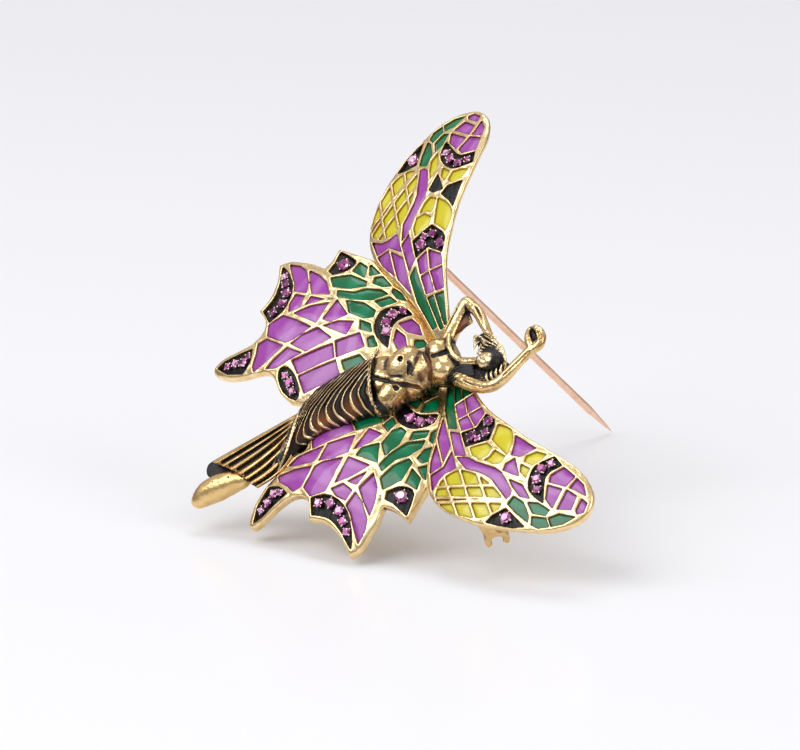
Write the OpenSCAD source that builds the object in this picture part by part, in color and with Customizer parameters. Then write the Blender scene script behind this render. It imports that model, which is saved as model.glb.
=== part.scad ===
// Art Nouveau butterfly-lady brooch: four enamelled wings, a cast figure, and a hinged pin with a hook catch.
// Brooch axes before it is stood up: X across the wings, Y from tail to head, Z out of the front face.

/* [Wings] */
// Thickness of the wing castings
wing_t = 1.4; // [1.2:0.1:2]
// Depth of the enamel pockets below the vein tops
pocket_depth = 0.65; // [0.5:0.05:0.8]
// How far the enamel lies below the vein tops
enamel_drop = 0.12; // [0.05:0.01:0.2]
// How far the gem beds lie below the vein tops
bed_drop = 0.3; // [0.2:0.05:0.4]
// Camber radius of a fore wing
fore_camber_r = 45; // [38:1:60]
// Camber radius of a hind wing
hind_camber_r = 33; // [31:1:60]
// How far each cell of a fore wing is grown, which narrows the veins
fore_grow = 0.08; // [0:0.01:0.12]
// How far each cell of a hind wing is grown, which narrows the veins
hind_grow = 0.13; // [0:0.01:0.16]
// Width of the veins between the yellow lattice cells
lattice_vein = 0.42; // [0.3:0.02:0.6]

/* [Stones] */
// Girdle radius of the smallest rhinestones
stone_r = 0.42; // [0.35:0.01:0.5]
// Height of a rhinestone's crown
crown_h = 0.4; // [0.3:0.05:0.6]

/* [Figure] */
// Radius of the head
head_r = 1.9; // [1.7:0.1:2.2]
// Radius of an arm at the elbow
arm_r = 0.7; // [0.5:0.05:0.9]
// Depth of the drapery folds
fold_depth = 0.45; // [0.2:0.05:0.7]

/* [Pin] */
// Radius of the pin stem
stem_r = 0.48; // [0.4:0.01:0.6]
// Length of the stem from the hinge to its point
stem_length = 47.3; // [46.5:0.1:48.5]
// Length of the tapered point
point_length = 6; // [4:0.5:10]
// How far the stem stands open when the brooch is set down
open_angle = 86; // [60:1:110]
// Radius of the hinge rivet
rivet_r = 0.4; // [0.3:0.05:0.5]
// Radial play of the stem's eye on the rivet
rivet_play = 0.05; // [0.03:0.01:0.08]
// Outer radius of the stem's eye
eye_r = 1.1; // [0.9:0.1:1.3]
// Width of the stem's eye
eye_w = 1.4; // [1:0.1:2]
// Thickness of each ear of the joint
ear_t = 0.7; // [0.5:0.1:1]
// Inner radius of the catch's hook
hook_r = 0.85; // [0.7:0.05:1]
// Thickness of the catch's wire
hook_t = 0.7; // [0.5:0.05:0.9]
// Width of the catch along the wing
hook_w = 1.8; // [1.2:0.1:2.5]

/* [Hidden] */
$fn = 48;

// Colours
gold = [0.76, 0.6, 0.3];
old_gold = [0.55, 0.42, 0.2];
rose_gold = [0.88, 0.7, 0.55];
purple = [0.6, 0.2, 0.66];
green = [0, 0.5, 0.3];
yellow = [0.88, 0.84, 0.12];
black = [0.06, 0.05, 0.06];
amethyst = [0.8, 0.45, 0.75];

// The stance: the brooch leans back on the tips of its right hind wing and on the open pin's point;
// stand then sets it on the ground with the middle of its box over the origin
stance = [35, 36, -76];
stand = [-22.62, -5.09, 9.67];

// Camber spheres: the highest point of each wing's face; the left fore wing is twisted a little
fore_top_right = [21.5, 32.6, 0.9];
fore_top_left = [19, 39.1, 1.44];
hind_top = [11.5, 12.6, 1.4];
reach = 40;                      // taller than anything on the brooch

// The pin's hinge and the catch, and the tilt of the hinge axis
hinge = [-19.5, 29.5, -5.4];
hinge_tilt = 5;
catch_at = [26, 29.5, -5.4];

// Hinge fittings
ear_gap = eye_w + 0.2;           // space between the ears
joint_w = ear_gap + 2 * ear_t;   // over both ears
post_h = 9;                      // posts run up past the wing's back, which trims them
base_rim = 0.5;
eye_clear = 0.4;
eye_shy = 0.1;                   // the eye is a little smaller than the ears
collar_r = 0.72;                 // a shoulder where the stem leaves its eye
collar_l = 1.5;
head_h = 0.3;
head_w = 0.7;
tip_r = 0.08;
hook_open = 200;                 // the hook's mouth, as angles round the closed stem
hook_close = 300;

// The bar across the back
bridge_y = 22.4;
bridge_w = 3;
bridge_reach = 13;
bridge_t = 1;

// The figure: chains of beads, [x, y, z, half-width, half-length, half-depth]
body_edge = 6.4;
waist_y = 21.2;
seat_gap = 0.05;
miter_limit = 0.7;
coarse = 120;                    // facets of the cuts in the cast figure, which is a mesh
head_shape = [0.85, 1, 0.9];     // the head's half-sizes, as shares of its radius
stone_base = 1;                  // a stone's seat, cut off at the gem bed
table_share = 0.55;              // a stone's flat top, as a share of its girdle
crown_share = 0.7;
torso_beads = [[1.9, 21, -0.3, 4, 1.4, 3], [1.9, 24.3, -0.4, 3.6, 1.6, 3], [2, 27.3, -1, 2.7, 1.2, 2.5],
  [2.2, 29.7, -1.1, 3.1, 1.2, 2.7], [2.5, 31.4, -1.2, 3.3, 0.8, 1.8]];
bust_beads = [[0.9, 29.5, 0.7, 1.3, 1.25, 1], [3.5, 29.7, 0.7, 1.3, 1.25, 1]];
neck_beads = [[3, 31.6, -0.6, 1.1, 0.9, 1], [4.6, 34, -0.4, 0.9, 0.9, 0.9]];
head_at = [5.3, 35.8, 0.3];
hair_beads = [[1.6, 36.4, -0.8, 1, 0.8, 0.8], [4.6, 36.9, -0.9, 1.6, 1.7, 1.4], [6.7, 35.6, -0.9, 1.6, 2.1, 1.4],
  [5.8, 33, -1, 1.2, 1, 1]];
left_arm = [[-0.6, 31, -0.9, 1], [-4.9, 34.9, -0.6, 0.75], [-2.6, 36, -0.5, 0.65], [1.8, 36.6, -0.5, 0.6]];
right_arm = [[5.3, 31.3, -0.7, 1], [8.8, 34.4, -0.2, arm_r], [9.2, 36.5, -0.1, arm_r], [6.7, 41.4, 0, 0.6],
  [5.6, 42.9, 0, 0.65], [4.3, 42.6, 0.1, 0.45]];
skirt_beads = [[1.9, 21.4, 0.2, 4.3, 1, 3], [1.9, 17.5, 0.7, 3.9, 1.5, 2.6], [2.1, 14, 0.9, 3.4, 1.5, 2.2],
  [3.2, 11.2, 0.9, 2.7, 1.4, 1.9], [4.4, 9.3, 0.9, 2.3, 1.2, 1.6], [6.8, 7, 0.9, 1.1, 1, 1.3]];
fold_count = 9;
fold_pitch = 1.25;
fold_start = [1.9, 24.2, 3.6];   // centre of the first fold's ring
fold_drift = 0.12;
fold_lean = 12;
fold_ring = 6;
fan_outline = [[0.9, 9.6], [2.6, 9.9], [5, 8.6], [6.9, 6.6], [7.4, 4.6], [7.8, 2.8], [6.7, 1.9], [5.2, 1.3],
  [3.6, 0.1], [2.4, -1.4], [1.7, -2.6], [1.1, -1.6], [1.2, 3], [0.8, 7]];
fan_root = [2, 11.5];
fan_low = -0.9;
fan_high = 1.5;
flute_count = 6;
flute_first = -1;
flute_step = 7;
flute_r = 0.42;
flute_start = 1.5;
flute_length = 14;
flute_rise = 0.1;
lobe_beads = [[5.5, 1.2, -0.2, 1.2, 1, 1], [5.3, -2.3, -0.2, 1.8, 1.5, 1.1], [5.5, -5, -0.2, 1.1, 1, 0.8]];

// ---- curves ----

function blend_point(a, b, c, d, t) =
  0.5 * (2 * b + (c - a) * t + (2 * a - 5 * b + 4 * c - d) * t * t + (3 * b - a - 3 * c + d) * t * t * t);

// A smooth open curve through the points, with a corner at each end; the last point is left off
function curve(p, steps = 4) = [
  for (i = [0 : len(p) - 2], s = [0 : steps - 1])
    blend_point(p[max(i - 1, 0)], p[i], p[i + 1], p[min(i + 2, len(p) - 1)], s / steps)
];

// A smooth closed curve through the points
function loop(p, steps = 3) = [
  for (i = [0 : len(p) - 1], s = [0 : steps - 1])
    blend_point(p[(i + len(p) - 1) % len(p)], p[i], p[(i + 1) % len(p)], p[(i + 2) % len(p)], s / steps)
];

// Camber of the fore wing on one side
function fore_top(side) = side > 0 ? fore_top_right : fore_top_left;

// Each corner of a cell moved outwards by d along both of its edges; miter_limit holds sharp corners back
function unit(v) = v / max(norm(v), 0.001);
function turn(v) = [v[1], -v[0]];
function twice_area(p) = [for (i = [0 : len(p) - 1]) cross(p[i], p[(i + 1) % len(p)])] * [for (q = p) 1];
function grow(p, d) =
  let (n = len(p), way = twice_area(p) > 0 ? 1 : -1)
  [for (i = [0 : n - 1])
    let (a = way * turn(unit(p[i] - p[(i + n - 1) % n])), b = way * turn(unit(p[(i + 1) % n] - p[i])))
      p[i] + d * (a + b) / max(1 + a * b, miter_limit)];

// ---- fore wing outline and cells, for the wing on +X ----

fore_outline = concat(
  curve([[2.8, 31.3], [8, 32.8], [12, 34.2], [15, 35.8], [18, 37.6], [21, 39.7], [24, 42], [26, 43.2], [28, 43.8],
    [30, 43.7], [31.7, 42.6], [32.5, 40.5], [32.4, 38], [31.7, 36], [30.6, 33.8], [29.2, 31.5], [27.5, 29.2],
    [25.3, 27], [22.8, 25.2], [20.3, 24.3], [18, 24.3], [15.5, 25], [12.5, 26.4], [8, 28.1], [2.8, 29.2]]),
  [[2.8, 29.2]]);

fore_green_cells = [
  [[4.4, 29.3], [8.5, 28.6], [12, 28.7], [12.8, 29.7], [8.5, 29.7], [4.4, 29.85]],
  [[3.9, 30.3], [8.2, 30.1], [8.1, 30.8], [3.9, 30.6]],
  [[4.1, 31], [8, 31.2], [7.8, 32.3], [4.1, 31.2]],
  [[30.7, 38], [30.7, 39.3], [31.7, 41], [32, 39.4], [31.8, 38]],
  [[29.8, 36.1], [30.6, 37.6], [31.7, 37.6], [31.4, 36.4], [30.7, 35.8]],
  [[27.8, 36.2], [28.4, 37.3], [29.8, 38.3], [30.2, 37.7], [29.4, 36.4]],
  [[26.3, 34.7], [27.6, 35.6], [29.5, 35.7], [30.2, 35.4], [28.4, 34.4], [26.9, 33.8]]
];

fore_purple_cells = [
  [[8.8, 30.1], [11.2, 30.2], [11.2, 31.2], [8.6, 31.1]],
  [[11.6, 30.2], [13.5, 30.4], [13.9, 31.8], [11.6, 31.3]],
  [[8.5, 31.5], [11.1, 31.6], [10.9, 33.2], [8.3, 32.5]],
  [[11.5, 31.7], [13.9, 32.2], [12.5, 33.5], [11.3, 33.3]],
  [[12.8, 28.8], [16.8, 28.9], [17.6, 30.1], [13.8, 29.9]],
  [[9.9, 28.1], [12.8, 27], [16.9, 27.1], [15, 28.4]],
  [[13.5, 26.6], [15.8, 25.5], [17.4, 25.1], [17.3, 26.7]],
  [[16, 28.5], [17.7, 27], [17.8, 25.1], [20.1, 24.8], [19, 25.9], [18.6, 27], [18.7, 28.5]],
  concat(curve([[17.3, 29], [18.2, 30.4], [19.3, 31.2], [20.8, 32.8], [22.4, 34], [25.4, 34.6]], 2),
    curve([[25.4, 34.6], [26.1, 33.8], [22.6, 32.7], [20.4, 30.9], [18.9, 29]], 2)),
  [[25, 41.5], [26.6, 42.4], [27.5, 41.1], [26.2, 39.4], [25.4, 39.8]],
  [[27, 42.6], [28.1, 43.1], [29.5, 43], [28.4, 42.1], [27.9, 41.5]],
  [[29.8, 42.4], [30.5, 42.8], [31.4, 42.1], [31.4, 41.4], [30.9, 41.4]],
  [[28.1, 41.1], [29.2, 41.9], [30.6, 40.8], [30, 39.3]],
  [[26.6, 39.1], [27.7, 40.5], [29.6, 38.8], [28.2, 38.4]]
];

fore_yellow_cells = [
  concat(curve([[15.3, 35.1], [16.8, 36.4], [18.7, 36.3], [20.2, 35.3]], 3),
    curve([[20.2, 35.3], [18.6, 34.6], [17.1, 34], [15.3, 35.1]], 1)),
  [[18.95, 33.95], [20.4, 34.95], [21, 34.2], [20.5, 33.3], [19.6, 32.4], [19.5, 33.2]],
  [[16.9, 31], [17.3, 33.1], [18.2, 33.6], [19.1, 32.9], [19.1, 31.8], [18, 31.1]],
  [[21.6, 38.9], [22.4, 39.9], [22.8, 39.2], [23.1, 38], [22.2, 37.2], [21.6, 37.6]],
  [[22.5, 36.7], [23.5, 37.5], [24.4, 36.8], [23.3, 36.4]]
];

fore_pair_cells = [
  [[18, 36.9], [21, 38.9], [21.3, 36.9], [20.6, 35.9], [19, 36.7]],
  [[21.3, 36.1], [23.9, 36], [22.2, 34.4], [21.5, 34.9]]
];

fore_lens_cells = [
  [[23.8, 34.8], [25.3, 36.1], [27.4, 36.5], [26.6, 35.5], [25, 35]]
];

fore_black_cells = [
  [[12.8, 33.8], [14.3, 34.7], [15.3, 34.5], [16.9, 33.5], [16.6, 32], [16.3, 30.5], [14, 30.3], [14.4, 32.3]],
  concat(curve([[23.2, 40.8], [24.6, 41.3]], 1), curve([[24.6, 41.3], [25, 39.5], [26.1, 38.7], [28.6, 37.9]], 3),
    curve([[28.6, 37.9], [26.6, 36.9], [24.9, 37.2], [23.5, 38.4], [23.2, 40.8]], 3)),
  [[27.4, 33.3], [30.6, 34.8], [30, 33.4], [28.9, 31.7], [27.9, 30.5], [27.5, 31.6]]
];

// Outline of the yellow lattice, and its slanting and level veins as [x, y, angle]
lattice_outline = loop([[19.1, 28.5], [19.5, 26.2], [21.3, 25], [23.6, 25.9], [25.6, 27.8], [27, 30], [27, 32.4],
  [25.6, 33.2], [23.2, 32.2], [20.9, 30.8]], 3);
lattice_veins = [[23, 27, 4], [23, 29.1, 2], [23, 31.2, 3], [20.7, 27, 62], [23.4, 28.7, 60], [25.3, 31.2, 62]];

// ---- hind wing outline and cells, for the wing on +X ----

hind_outline = concat(
  curve([[17.5, 24.6], [19.6, 22.4], [21.6, 20.3]], 3),
  curve([[21.6, 20.3], [19.9, 19.3], [18.9, 18.2]], 3),
  curve([[18.9, 18.2], [20.3, 17], [21.7, 15.4], [22.8, 13.8], [23.1, 12.2]], 3),
  curve([[23.1, 12.2], [20.5, 11.9], [18.4, 11], [17.2, 9.9], [16.5, 8.7]], 3),
  curve([[16.5, 8.7], [14.6, 9.3], [13.1, 8.8], [12.3, 7.2], [12.4, 5], [12.9, 2.6], [12.8, 0.8], [11.8, 0.4],
    [10, 1.9], [8.5, 4.3], [7.5, 7], [6.3, 8.4], [3.7, 8.7], [1.5, 9.8]], 3),
  [[1, 11], [1, 20], [3, 29], [8, 29], [17.5, 25]]);

hind_black_cells = [
  concat(curve([[17.2, 20.5], [17.6, 21.6], [18.6, 22], [20.8, 20.5]], 2), [[20.8, 20.5], [19.1, 19.7], [18.1, 18.8],
    [17.3, 19.2]]),
  concat(curve([[14, 9.9], [14.5, 11.6], [15.9, 13], [18, 13.7], [20.3, 13.4], [22.4, 12.7]], 2),
    curve([[22.4, 12.7], [20, 12.4], [17.9, 11.6], [16.7, 10.4], [16.1, 9.4]], 2), [[16.1, 9.4]]),
  concat(curve([[9.1, 4.5], [9.9, 5.8], [11.4, 6.6]], 2), curve([[11.4, 6.6], [11.8, 4.6], [12.3, 2.5], [12.2, 1.2]],
    2), [[12.2, 1.2], [10.5, 2.4]]),
  loop([[2, 10.4], [3, 11.1], [4.8, 11.15], [6.3, 10.6], [6.6, 9.8], [5.6, 9.2], [3.6, 9.3]], 2),
  concat(curve([[4.2, 23.3], [6.3, 24.1], [7.6, 25.2], [8, 27]], 2), curve([[8, 27], [9.1, 26.4], [9.5, 25.1],
    [9.1, 23.7], [7.6, 22.7], [6, 22.6], [4.2, 23.3]], 2))
];

hind_purple_cells = [
  [[7.6, 19], [8.9, 20.2], [9.6, 18.6], [9.8, 16.6]],
  [[10.8, 15.8], [12.9, 17.9], [13.4, 15.6], [13.4, 13.4]],
  [[13.7, 17.5], [14.8, 15.9], [14, 15]],
  [[14.3, 18.2], [16.2, 18.1], [18, 17.3], [19.4, 16.3], [16.9, 16.2], [15.4, 16.2]],
  [[16, 15.4], [17.4, 15.8], [19.8, 15.7], [21, 15], [22.1, 13.8], [20.2, 14], [18.2, 14.2], [17, 14]],
  [[14.1, 12.8], [14.1, 14.2], [15.4, 15], [16.2, 14], [15.2, 13.1]],
  [[10.4, 14.9], [9.8, 12.4], [9.9, 11.4], [12, 9.3], [13.5, 9.8], [13.8, 11.8], [12.3, 13.3]],
  [[9.6, 10.7], [8.8, 8.5], [8.4, 6.2], [9.1, 6.2], [10.5, 7.2], [11.6, 7.7], [11.6, 8.9]],
  [[7.8, 17], [9.8, 15.8], [9.7, 13.8], [9.2, 12.1], [7.4, 13.6]],
  [[7.4, 12.9], [8.9, 11.3], [8.2, 9], [7.7, 7.9], [7.2, 9.2]],
  [[5, 11.8], [5.1, 16.7], [6.8, 17], [6.9, 11.6]],
  [[2.3, 11.8], [2.5, 16.6], [4.5, 16.7], [4.5, 11.8]]
];

hind_green_cells = [
  [[8.9, 22.7], [9.6, 23.1], [11.2, 22], [12.2, 20.2], [10.4, 20.2], [9, 21.7]],
  [[10, 24], [10.3, 25.7], [11.1, 25.2], [11, 23.5]],
  [[11.4, 23.1], [11.7, 25], [12.5, 24.4], [13.2, 22.8], [13.2, 21.2], [14.2, 19.4], [13.4, 19.3], [12.4, 20.7]],
  [[13.8, 22.7], [14.4, 22.9], [16.2, 21.2], [16.7, 18.9], [15.2, 19], [14.1, 20.9]],
  [[15.3, 22.8], [16.8, 23.3], [17.9, 22.6], [16.8, 21.7]],
  [[10.2, 26.9], [11.4, 26.5], [12.3, 25.9], [11.8, 25.7], [10.7, 26.1]],
  [[12.9, 25.6], [14.6, 24.9], [14.7, 24.1], [13.9, 23.8], [13, 24.8]],
  [[15.3, 24.6], [17, 23.9], [16.8, 23.8], [15.3, 23.6]],
  [[3, 17.6], [3.1, 20.2], [4.1, 19.8], [4.1, 17.6]],
  [[3.3, 26.2], [4.3, 26.6], [4.1, 27.4], [3.4, 27.6]],
  [[6.9, 22], [7.9, 22.1], [8.7, 21.2], [7.6, 20.9]],
  [[4.8, 22.1], [6.1, 22], [6, 21.4], [4.9, 21.3]]
];

// Cells whose colour differs between the two wings
hind_mixed_cells = [
  [[10.3, 19.7], [12.8, 19], [10.8, 16.9], [10.1, 17.6]],
  [[5, 17.2], [5.2, 20.6], [7, 20.6], [7, 17.6]],
  [[7, 25.5], [7.2, 26.9], [6.2, 27.4], [5, 27.4], [5.7, 26.1]],
  [[6.2, 24.9], [5.1, 25.5], [3.4, 25.3], [3.6, 24.5], [4.9, 24.3]]
];

// ---- stones: [x, y, scale] ----

fore_stones = [
  [14, 33.9, 1.5], [15.7, 33.3, 1.2], [15.2, 31.4, 1.6], [16, 32.2, 0.9],
  [23.9, 40.2, 1], [24.1, 38.9, 1.4], [25.3, 38, 1.3], [26.6, 37.7, 1.1],
  [28.5, 33, 1.6]
];

hind_stones = [
  [18.4, 20.6, 1.7],
  [15.1, 10.6, 1.3], [15.8, 12, 1.4], [17.3, 12.8, 1.4], [18.8, 12.9, 1.2], [20.2, 12.9, 1],
  [10.4, 5, 1.2], [11, 3.9, 1.1], [11.4, 2.7, 0.9], [10.8, 5.9, 0.9],
  [3.2, 10.3, 1], [4.4, 10.3, 1.3], [5.5, 10.1, 0.9],
  [6.4, 23.7, 1.2], [7.6, 24, 1.3], [8.6, 25, 1.3], [8.7, 26.2, 0.9]
];

// ---- placing helpers ----

// Stands a piece up as the brooch stands
module place() {
  translate(stand)
    rotate(stance)
      children();
}

// Draws a piece of the wing on +X (side 1) or on -X (side -1)
module on_side(side) {
  if (side > 0)
    children();
  else
    mirror([1, 0, 0])
      children();
}

// The solid below a camber surface that lies drop under the wing's face
module under(top, r, drop, facets = 360) {
  translate(top - [0, 0, r])
    sphere(r = r - drop, $fn = facets);
}

module prism(points) {
  translate([0, 0, -reach / 2])
    linear_extrude(height = reach)
      polygon(points);
}

module prisms(cells, d) {
  for (c = cells)
    prism(grow(c, d));
}

// What lies between two camber surfaces, inside the children's outline
module layer(top, r, upper, lower) {
  difference() {
    intersection() {
      children();
      under(top, r, upper);
    }
    under(top, r, lower);
  }
}

module lattice() {
  difference() {
    prism(lattice_outline);
    for (v = lattice_veins)
      translate([v[0], v[1], 0])
        rotate([0, 0, v[2]])
          cube([reach, lattice_vein, reach + 1], center = true);
  }
}

module stones(list, top, r) {
  for (s = list)
    let (size = s[2] * stone_r)
      difference() {
        translate([s[0], s[1], face_z(s, top, r) - stone_base]) {
          cylinder(r = size, h = stone_base);
          translate([0, 0, stone_base])
            cylinder(r1 = size, r2 = size * table_share, h = crown_h * s[2] * crown_share);
        }
        under(top, r, bed_drop);
      }
}

// Height of a camber surface above a point of the plan
function face_z(p, top, r) =
  top[2] - r + sqrt(r * r - pow(p[0] - top[0], 2) - pow(p[1] - top[1], 2));

// ---- castings ----

module fore_wing(side) {
  color(gold) place() on_side(side)
    difference() {
      layer(fore_top(side), fore_camber_r, 0, wing_t)
        prism(fore_outline);
      fore_pockets(side);
    }
}

module fore_pockets(side) {
  difference() {
    union() {
      prisms(fore_green_cells, fore_grow);
      prisms(fore_purple_cells, fore_grow);
      prisms(fore_yellow_cells, fore_grow);
      prisms(fore_pair_cells, fore_grow);
      prisms(fore_lens_cells, fore_grow);
      prisms(fore_black_cells, fore_grow);
      lattice();
    }
    under(fore_top(side), fore_camber_r, pocket_depth);
  }
}

module hind_wing(side) {
  color(gold) place() on_side(side)
    difference() {
      layer(hind_top, hind_camber_r, 0, wing_t)
        prism(hind_outline);
      fore_room(side);
      hind_pockets();
    }
}

// What the fore wing takes up; the hind wing runs on below it
module fore_room(side) {
  difference() {
    prism(fore_outline);
    under(fore_top(side), fore_camber_r, wing_t);
  }
}

module hind_pockets() {
  difference() {
    union() {
      prisms(hind_black_cells, hind_grow);
      prisms(hind_purple_cells, hind_grow);
      prisms(hind_green_cells, hind_grow);
      prisms(hind_mixed_cells, hind_grow);
    }
    under(hind_top, hind_camber_r, pocket_depth);
  }
}

// ---- enamel ----

module fore_enamel(side, drop) {
  place() on_side(side)
    layer(fore_top(side), fore_camber_r, drop, pocket_depth)
      children();
}

module hind_enamel(side, drop) {
  place() on_side(side)
    layer(hind_top, hind_camber_r, drop, pocket_depth)
      children();
}

module fore_purple(side) {
  color(purple) fore_enamel(side, enamel_drop) {
    prisms(fore_purple_cells, fore_grow);
    if (side > 0) {
      prisms(fore_pair_cells, fore_grow);
      prisms(fore_lens_cells, fore_grow);
    }
  }
}

module fore_green(side) {
  color(green) fore_enamel(side, enamel_drop)
    prisms(fore_green_cells, fore_grow);
}

module fore_yellow(side) {
  color(yellow) fore_enamel(side, enamel_drop) {
    prisms(fore_yellow_cells, fore_grow);
    lattice();
    if (side < 0)
      prisms(fore_lens_cells, fore_grow);
  }
}

module fore_black(side) {
  color(black) {
    fore_enamel(side, bed_drop)
      prisms(fore_black_cells, fore_grow);
    if (side < 0)
      fore_enamel(side, enamel_drop)
        prisms(fore_pair_cells, fore_grow);
  }
}

module hind_purple(side) {
  color(purple) hind_enamel(side, enamel_drop) {
    prisms(hind_purple_cells, hind_grow);
    if (side < 0)
      prisms(hind_mixed_cells, hind_grow);
  }
}

module hind_green(side) {
  color(green) hind_enamel(side, enamel_drop) {
    prisms(hind_green_cells, hind_grow);
    if (side > 0)
      prisms(hind_mixed_cells, hind_grow);
  }
}

module hind_black(side) {
  color(black) hind_enamel(side, bed_drop)
    prisms(hind_black_cells, hind_grow);
}

// ---- rhinestones ----

module fore_stone_set(side) {
  color(amethyst) place() on_side(side)
    stones(fore_stones, fore_top(side), fore_camber_r);
}

// The stones beside the body are left out where the body covers them
module hind_stone_set(side) {
  color(amethyst) place() on_side(side)
    stones([for (s = hind_stones) if (side < 0 || s[0] > body_edge) s], hind_top, hind_camber_r);
}

// ---- the cast figure ----

// A bead is [x, y, z, half-width, half-length, half-depth]
module bead(b) {
  translate([b[0], b[1], b[2]])
    scale([b[3], b[4], b[5]])
      sphere(r = 1, $fn = 20);
}

module chain(beads) {
  for (i = [0 : len(beads) - 2])
    hull() {
      bead(beads[i]);
      bead(beads[i + 1]);
    }
}

// An arm is a chain of round beads through [x, y, z, radius]
module arm(points) {
  chain([for (p = points) [p[0], p[1], p[2], p[3], p[3], p[3]]]);
}

// Everything that the wings' faces cover, which the figure rests on
module wing_bodies() {
  for (side = [-1, 1])
    on_side(side) {
      intersection() {
        prism(fore_outline);
        under(fore_top(side), fore_camber_r, -seat_gap, coarse);
      }
      intersection() {
        prism(hind_outline);
        under(hind_top, hind_camber_r, -seat_gap, coarse);
      }
    }
}

module half_space(y, direction) {
  translate([-reach / 2, direction > 0 ? y : y - reach, -reach / 2])
    cube(reach);
}

module figure() {
  color(old_gold) place()
    difference() {
      union() {
        chain(torso_beads);
        for (b = bust_beads)
          bead(b);
        chain(neck_beads);
        bead(concat(head_at, head_r * head_shape));
        chain(hair_beads);
        arm(left_arm);
        arm(right_arm);
      }
      half_space(waist_y, -1);
      wing_bodies();
      bridge_room();
    }
}

// Room for the bar where it crosses behind the body, between the wings
module bridge_room() {
  for (side = [-1, 1])
    on_side(side)
      intersection() {
        translate([-seat_gap, bridge_y - seat_gap, -reach / 2])
          cube([bridge_reach, bridge_w + 2 * seat_gap, reach]);
        under(hind_top, hind_camber_r, wing_t - seat_gap, coarse);
      }
}

module skirt() {
  color(old_gold) place()
    difference() {
      chain(skirt_beads);
      half_space(waist_y, 1);
      skirt_folds();
      wing_bodies();
      prism(fan_outline);
    }
}

// Curved grooves across the drapery
module skirt_folds() {
  for (i = [0 : fold_count - 1])
    translate(fold_start + i * [fold_drift, -fold_pitch, 0])
      rotate([fold_lean, 0, 0])
        rotate_extrude($fn = 40)
          translate([fold_ring, 0])
            circle(r = fold_depth, $fn = 14);
}

module tail_fan() {
  color(old_gold) place()
    difference() {
      translate([0, 0, fan_low])
        linear_extrude(height = fan_high - fan_low)
          polygon(fan_outline);
      for (i = [0 : flute_count - 1])
        translate([fan_root[0], fan_root[1], fan_high + flute_rise])
          rotate([90, 0, flute_first + i * flute_step])
            translate([0, 0, flute_start])
              cylinder(r = flute_r, h = flute_length);
      wing_bodies_right();
    }
}

module wing_bodies_right() {
  intersection() {
    prism(hind_outline);
    under(hind_top, hind_camber_r, 0);
  }
}

module tail_lobe() {
  color(gold) place()
    difference() {
      chain(lobe_beads);
      prism(fan_outline);
    }
}

// ---- back of the brooch ----

// A bar that follows the backs of the hind wings and joins them
module back_bridge() {
  color(gold) place()
    for (side = [-1, 1])
      on_side(side)
        layer(hind_top, hind_camber_r, wing_t, wing_t + bridge_t)
          translate([0, bridge_y, -reach / 2])
            cube([bridge_reach, bridge_w, reach]);
}

// The hinge's own axes: Y along the rivet, X along the closed stem
module at_hinge() {
  translate(hinge)
    rotate([hinge_tilt, 0, 0])
      children();
}

module along_rivet(r, l) {
  rotate([90, 0, 0])
    cylinder(r = r, h = l, center = true);
}

// Two ears that hold the rivet, rising to the back of the left fore wing
module pin_joint() {
  color(gold) place()
    difference() {
      intersection() {
        at_hinge()
          union() {
            for (y = [-1, 1] * (ear_gap + ear_t) / 2)
              translate([0, y, 0]) {
                along_rivet(eye_r, ear_t);
                translate([-eye_r, -ear_t / 2, 0])
                  cube([2 * eye_r, ear_t, post_h]);
              }
            translate([-eye_r - base_rim, -joint_w / 2 - base_rim, eye_r + eye_clear])
              cube([2 * (eye_r + base_rim), joint_w + 2 * base_rim, post_h]);
          }
        mirror([1, 0, 0])
          under(fore_top(-1), fore_camber_r, wing_t);
      }
      at_hinge()
        along_rivet(rivet_r, 2 * joint_w);
    }
}

module joint_rivet() {
  color(gold) place() at_hinge() {
    along_rivet(rivet_r, joint_w + 2 * head_h);
    for (y = [-1, 1] * (joint_w + head_h) / 2)
      translate([0, y, 0])
        along_rivet(head_w, head_h);
  }
}

module pin_stem() {
  color(rose_gold) place() at_hinge()
    rotate([0, open_angle, 0])
      difference() {
        union() {
          along_rivet(eye_r - eye_shy, eye_w);
          rotate([0, 90, 0]) {
            cylinder(r = stem_r, h = stem_length - point_length);
            cylinder(r = collar_r, h = collar_l);
            translate([0, 0, stem_length - point_length])
              cylinder(r1 = stem_r, r2 = tip_r, h = point_length);
          }
        }
        along_rivet(rivet_r + rivet_play, 2 * eye_w);
      }
}

// A hook open towards the back, on a post under the right fore wing
module catch() {
  color(gold) place()
    intersection() {
      translate(catch_at) {
        difference() {
          rotate([0, 90, 0])
            cylinder(r = hook_r + hook_t, h = hook_w, center = true);
          rotate([0, 90, 0])
            cylinder(r = hook_r, h = hook_w + 1, center = true);
          rotate([90, 0, 90])
            linear_extrude(height = hook_w + 1, center = true)
              polygon([[0, 0], for (a = [hook_open, (hook_open + hook_close) / 2, hook_close])
                4 * [cos(a), sin(a)]]);
        }
        translate([-hook_w / 2, -hook_t, hook_r + hook_t / 2])
          cube([hook_w, 2 * hook_t, post_h]);
      }
      under(fore_top(1), fore_camber_r, wing_t);
    }
}

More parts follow.
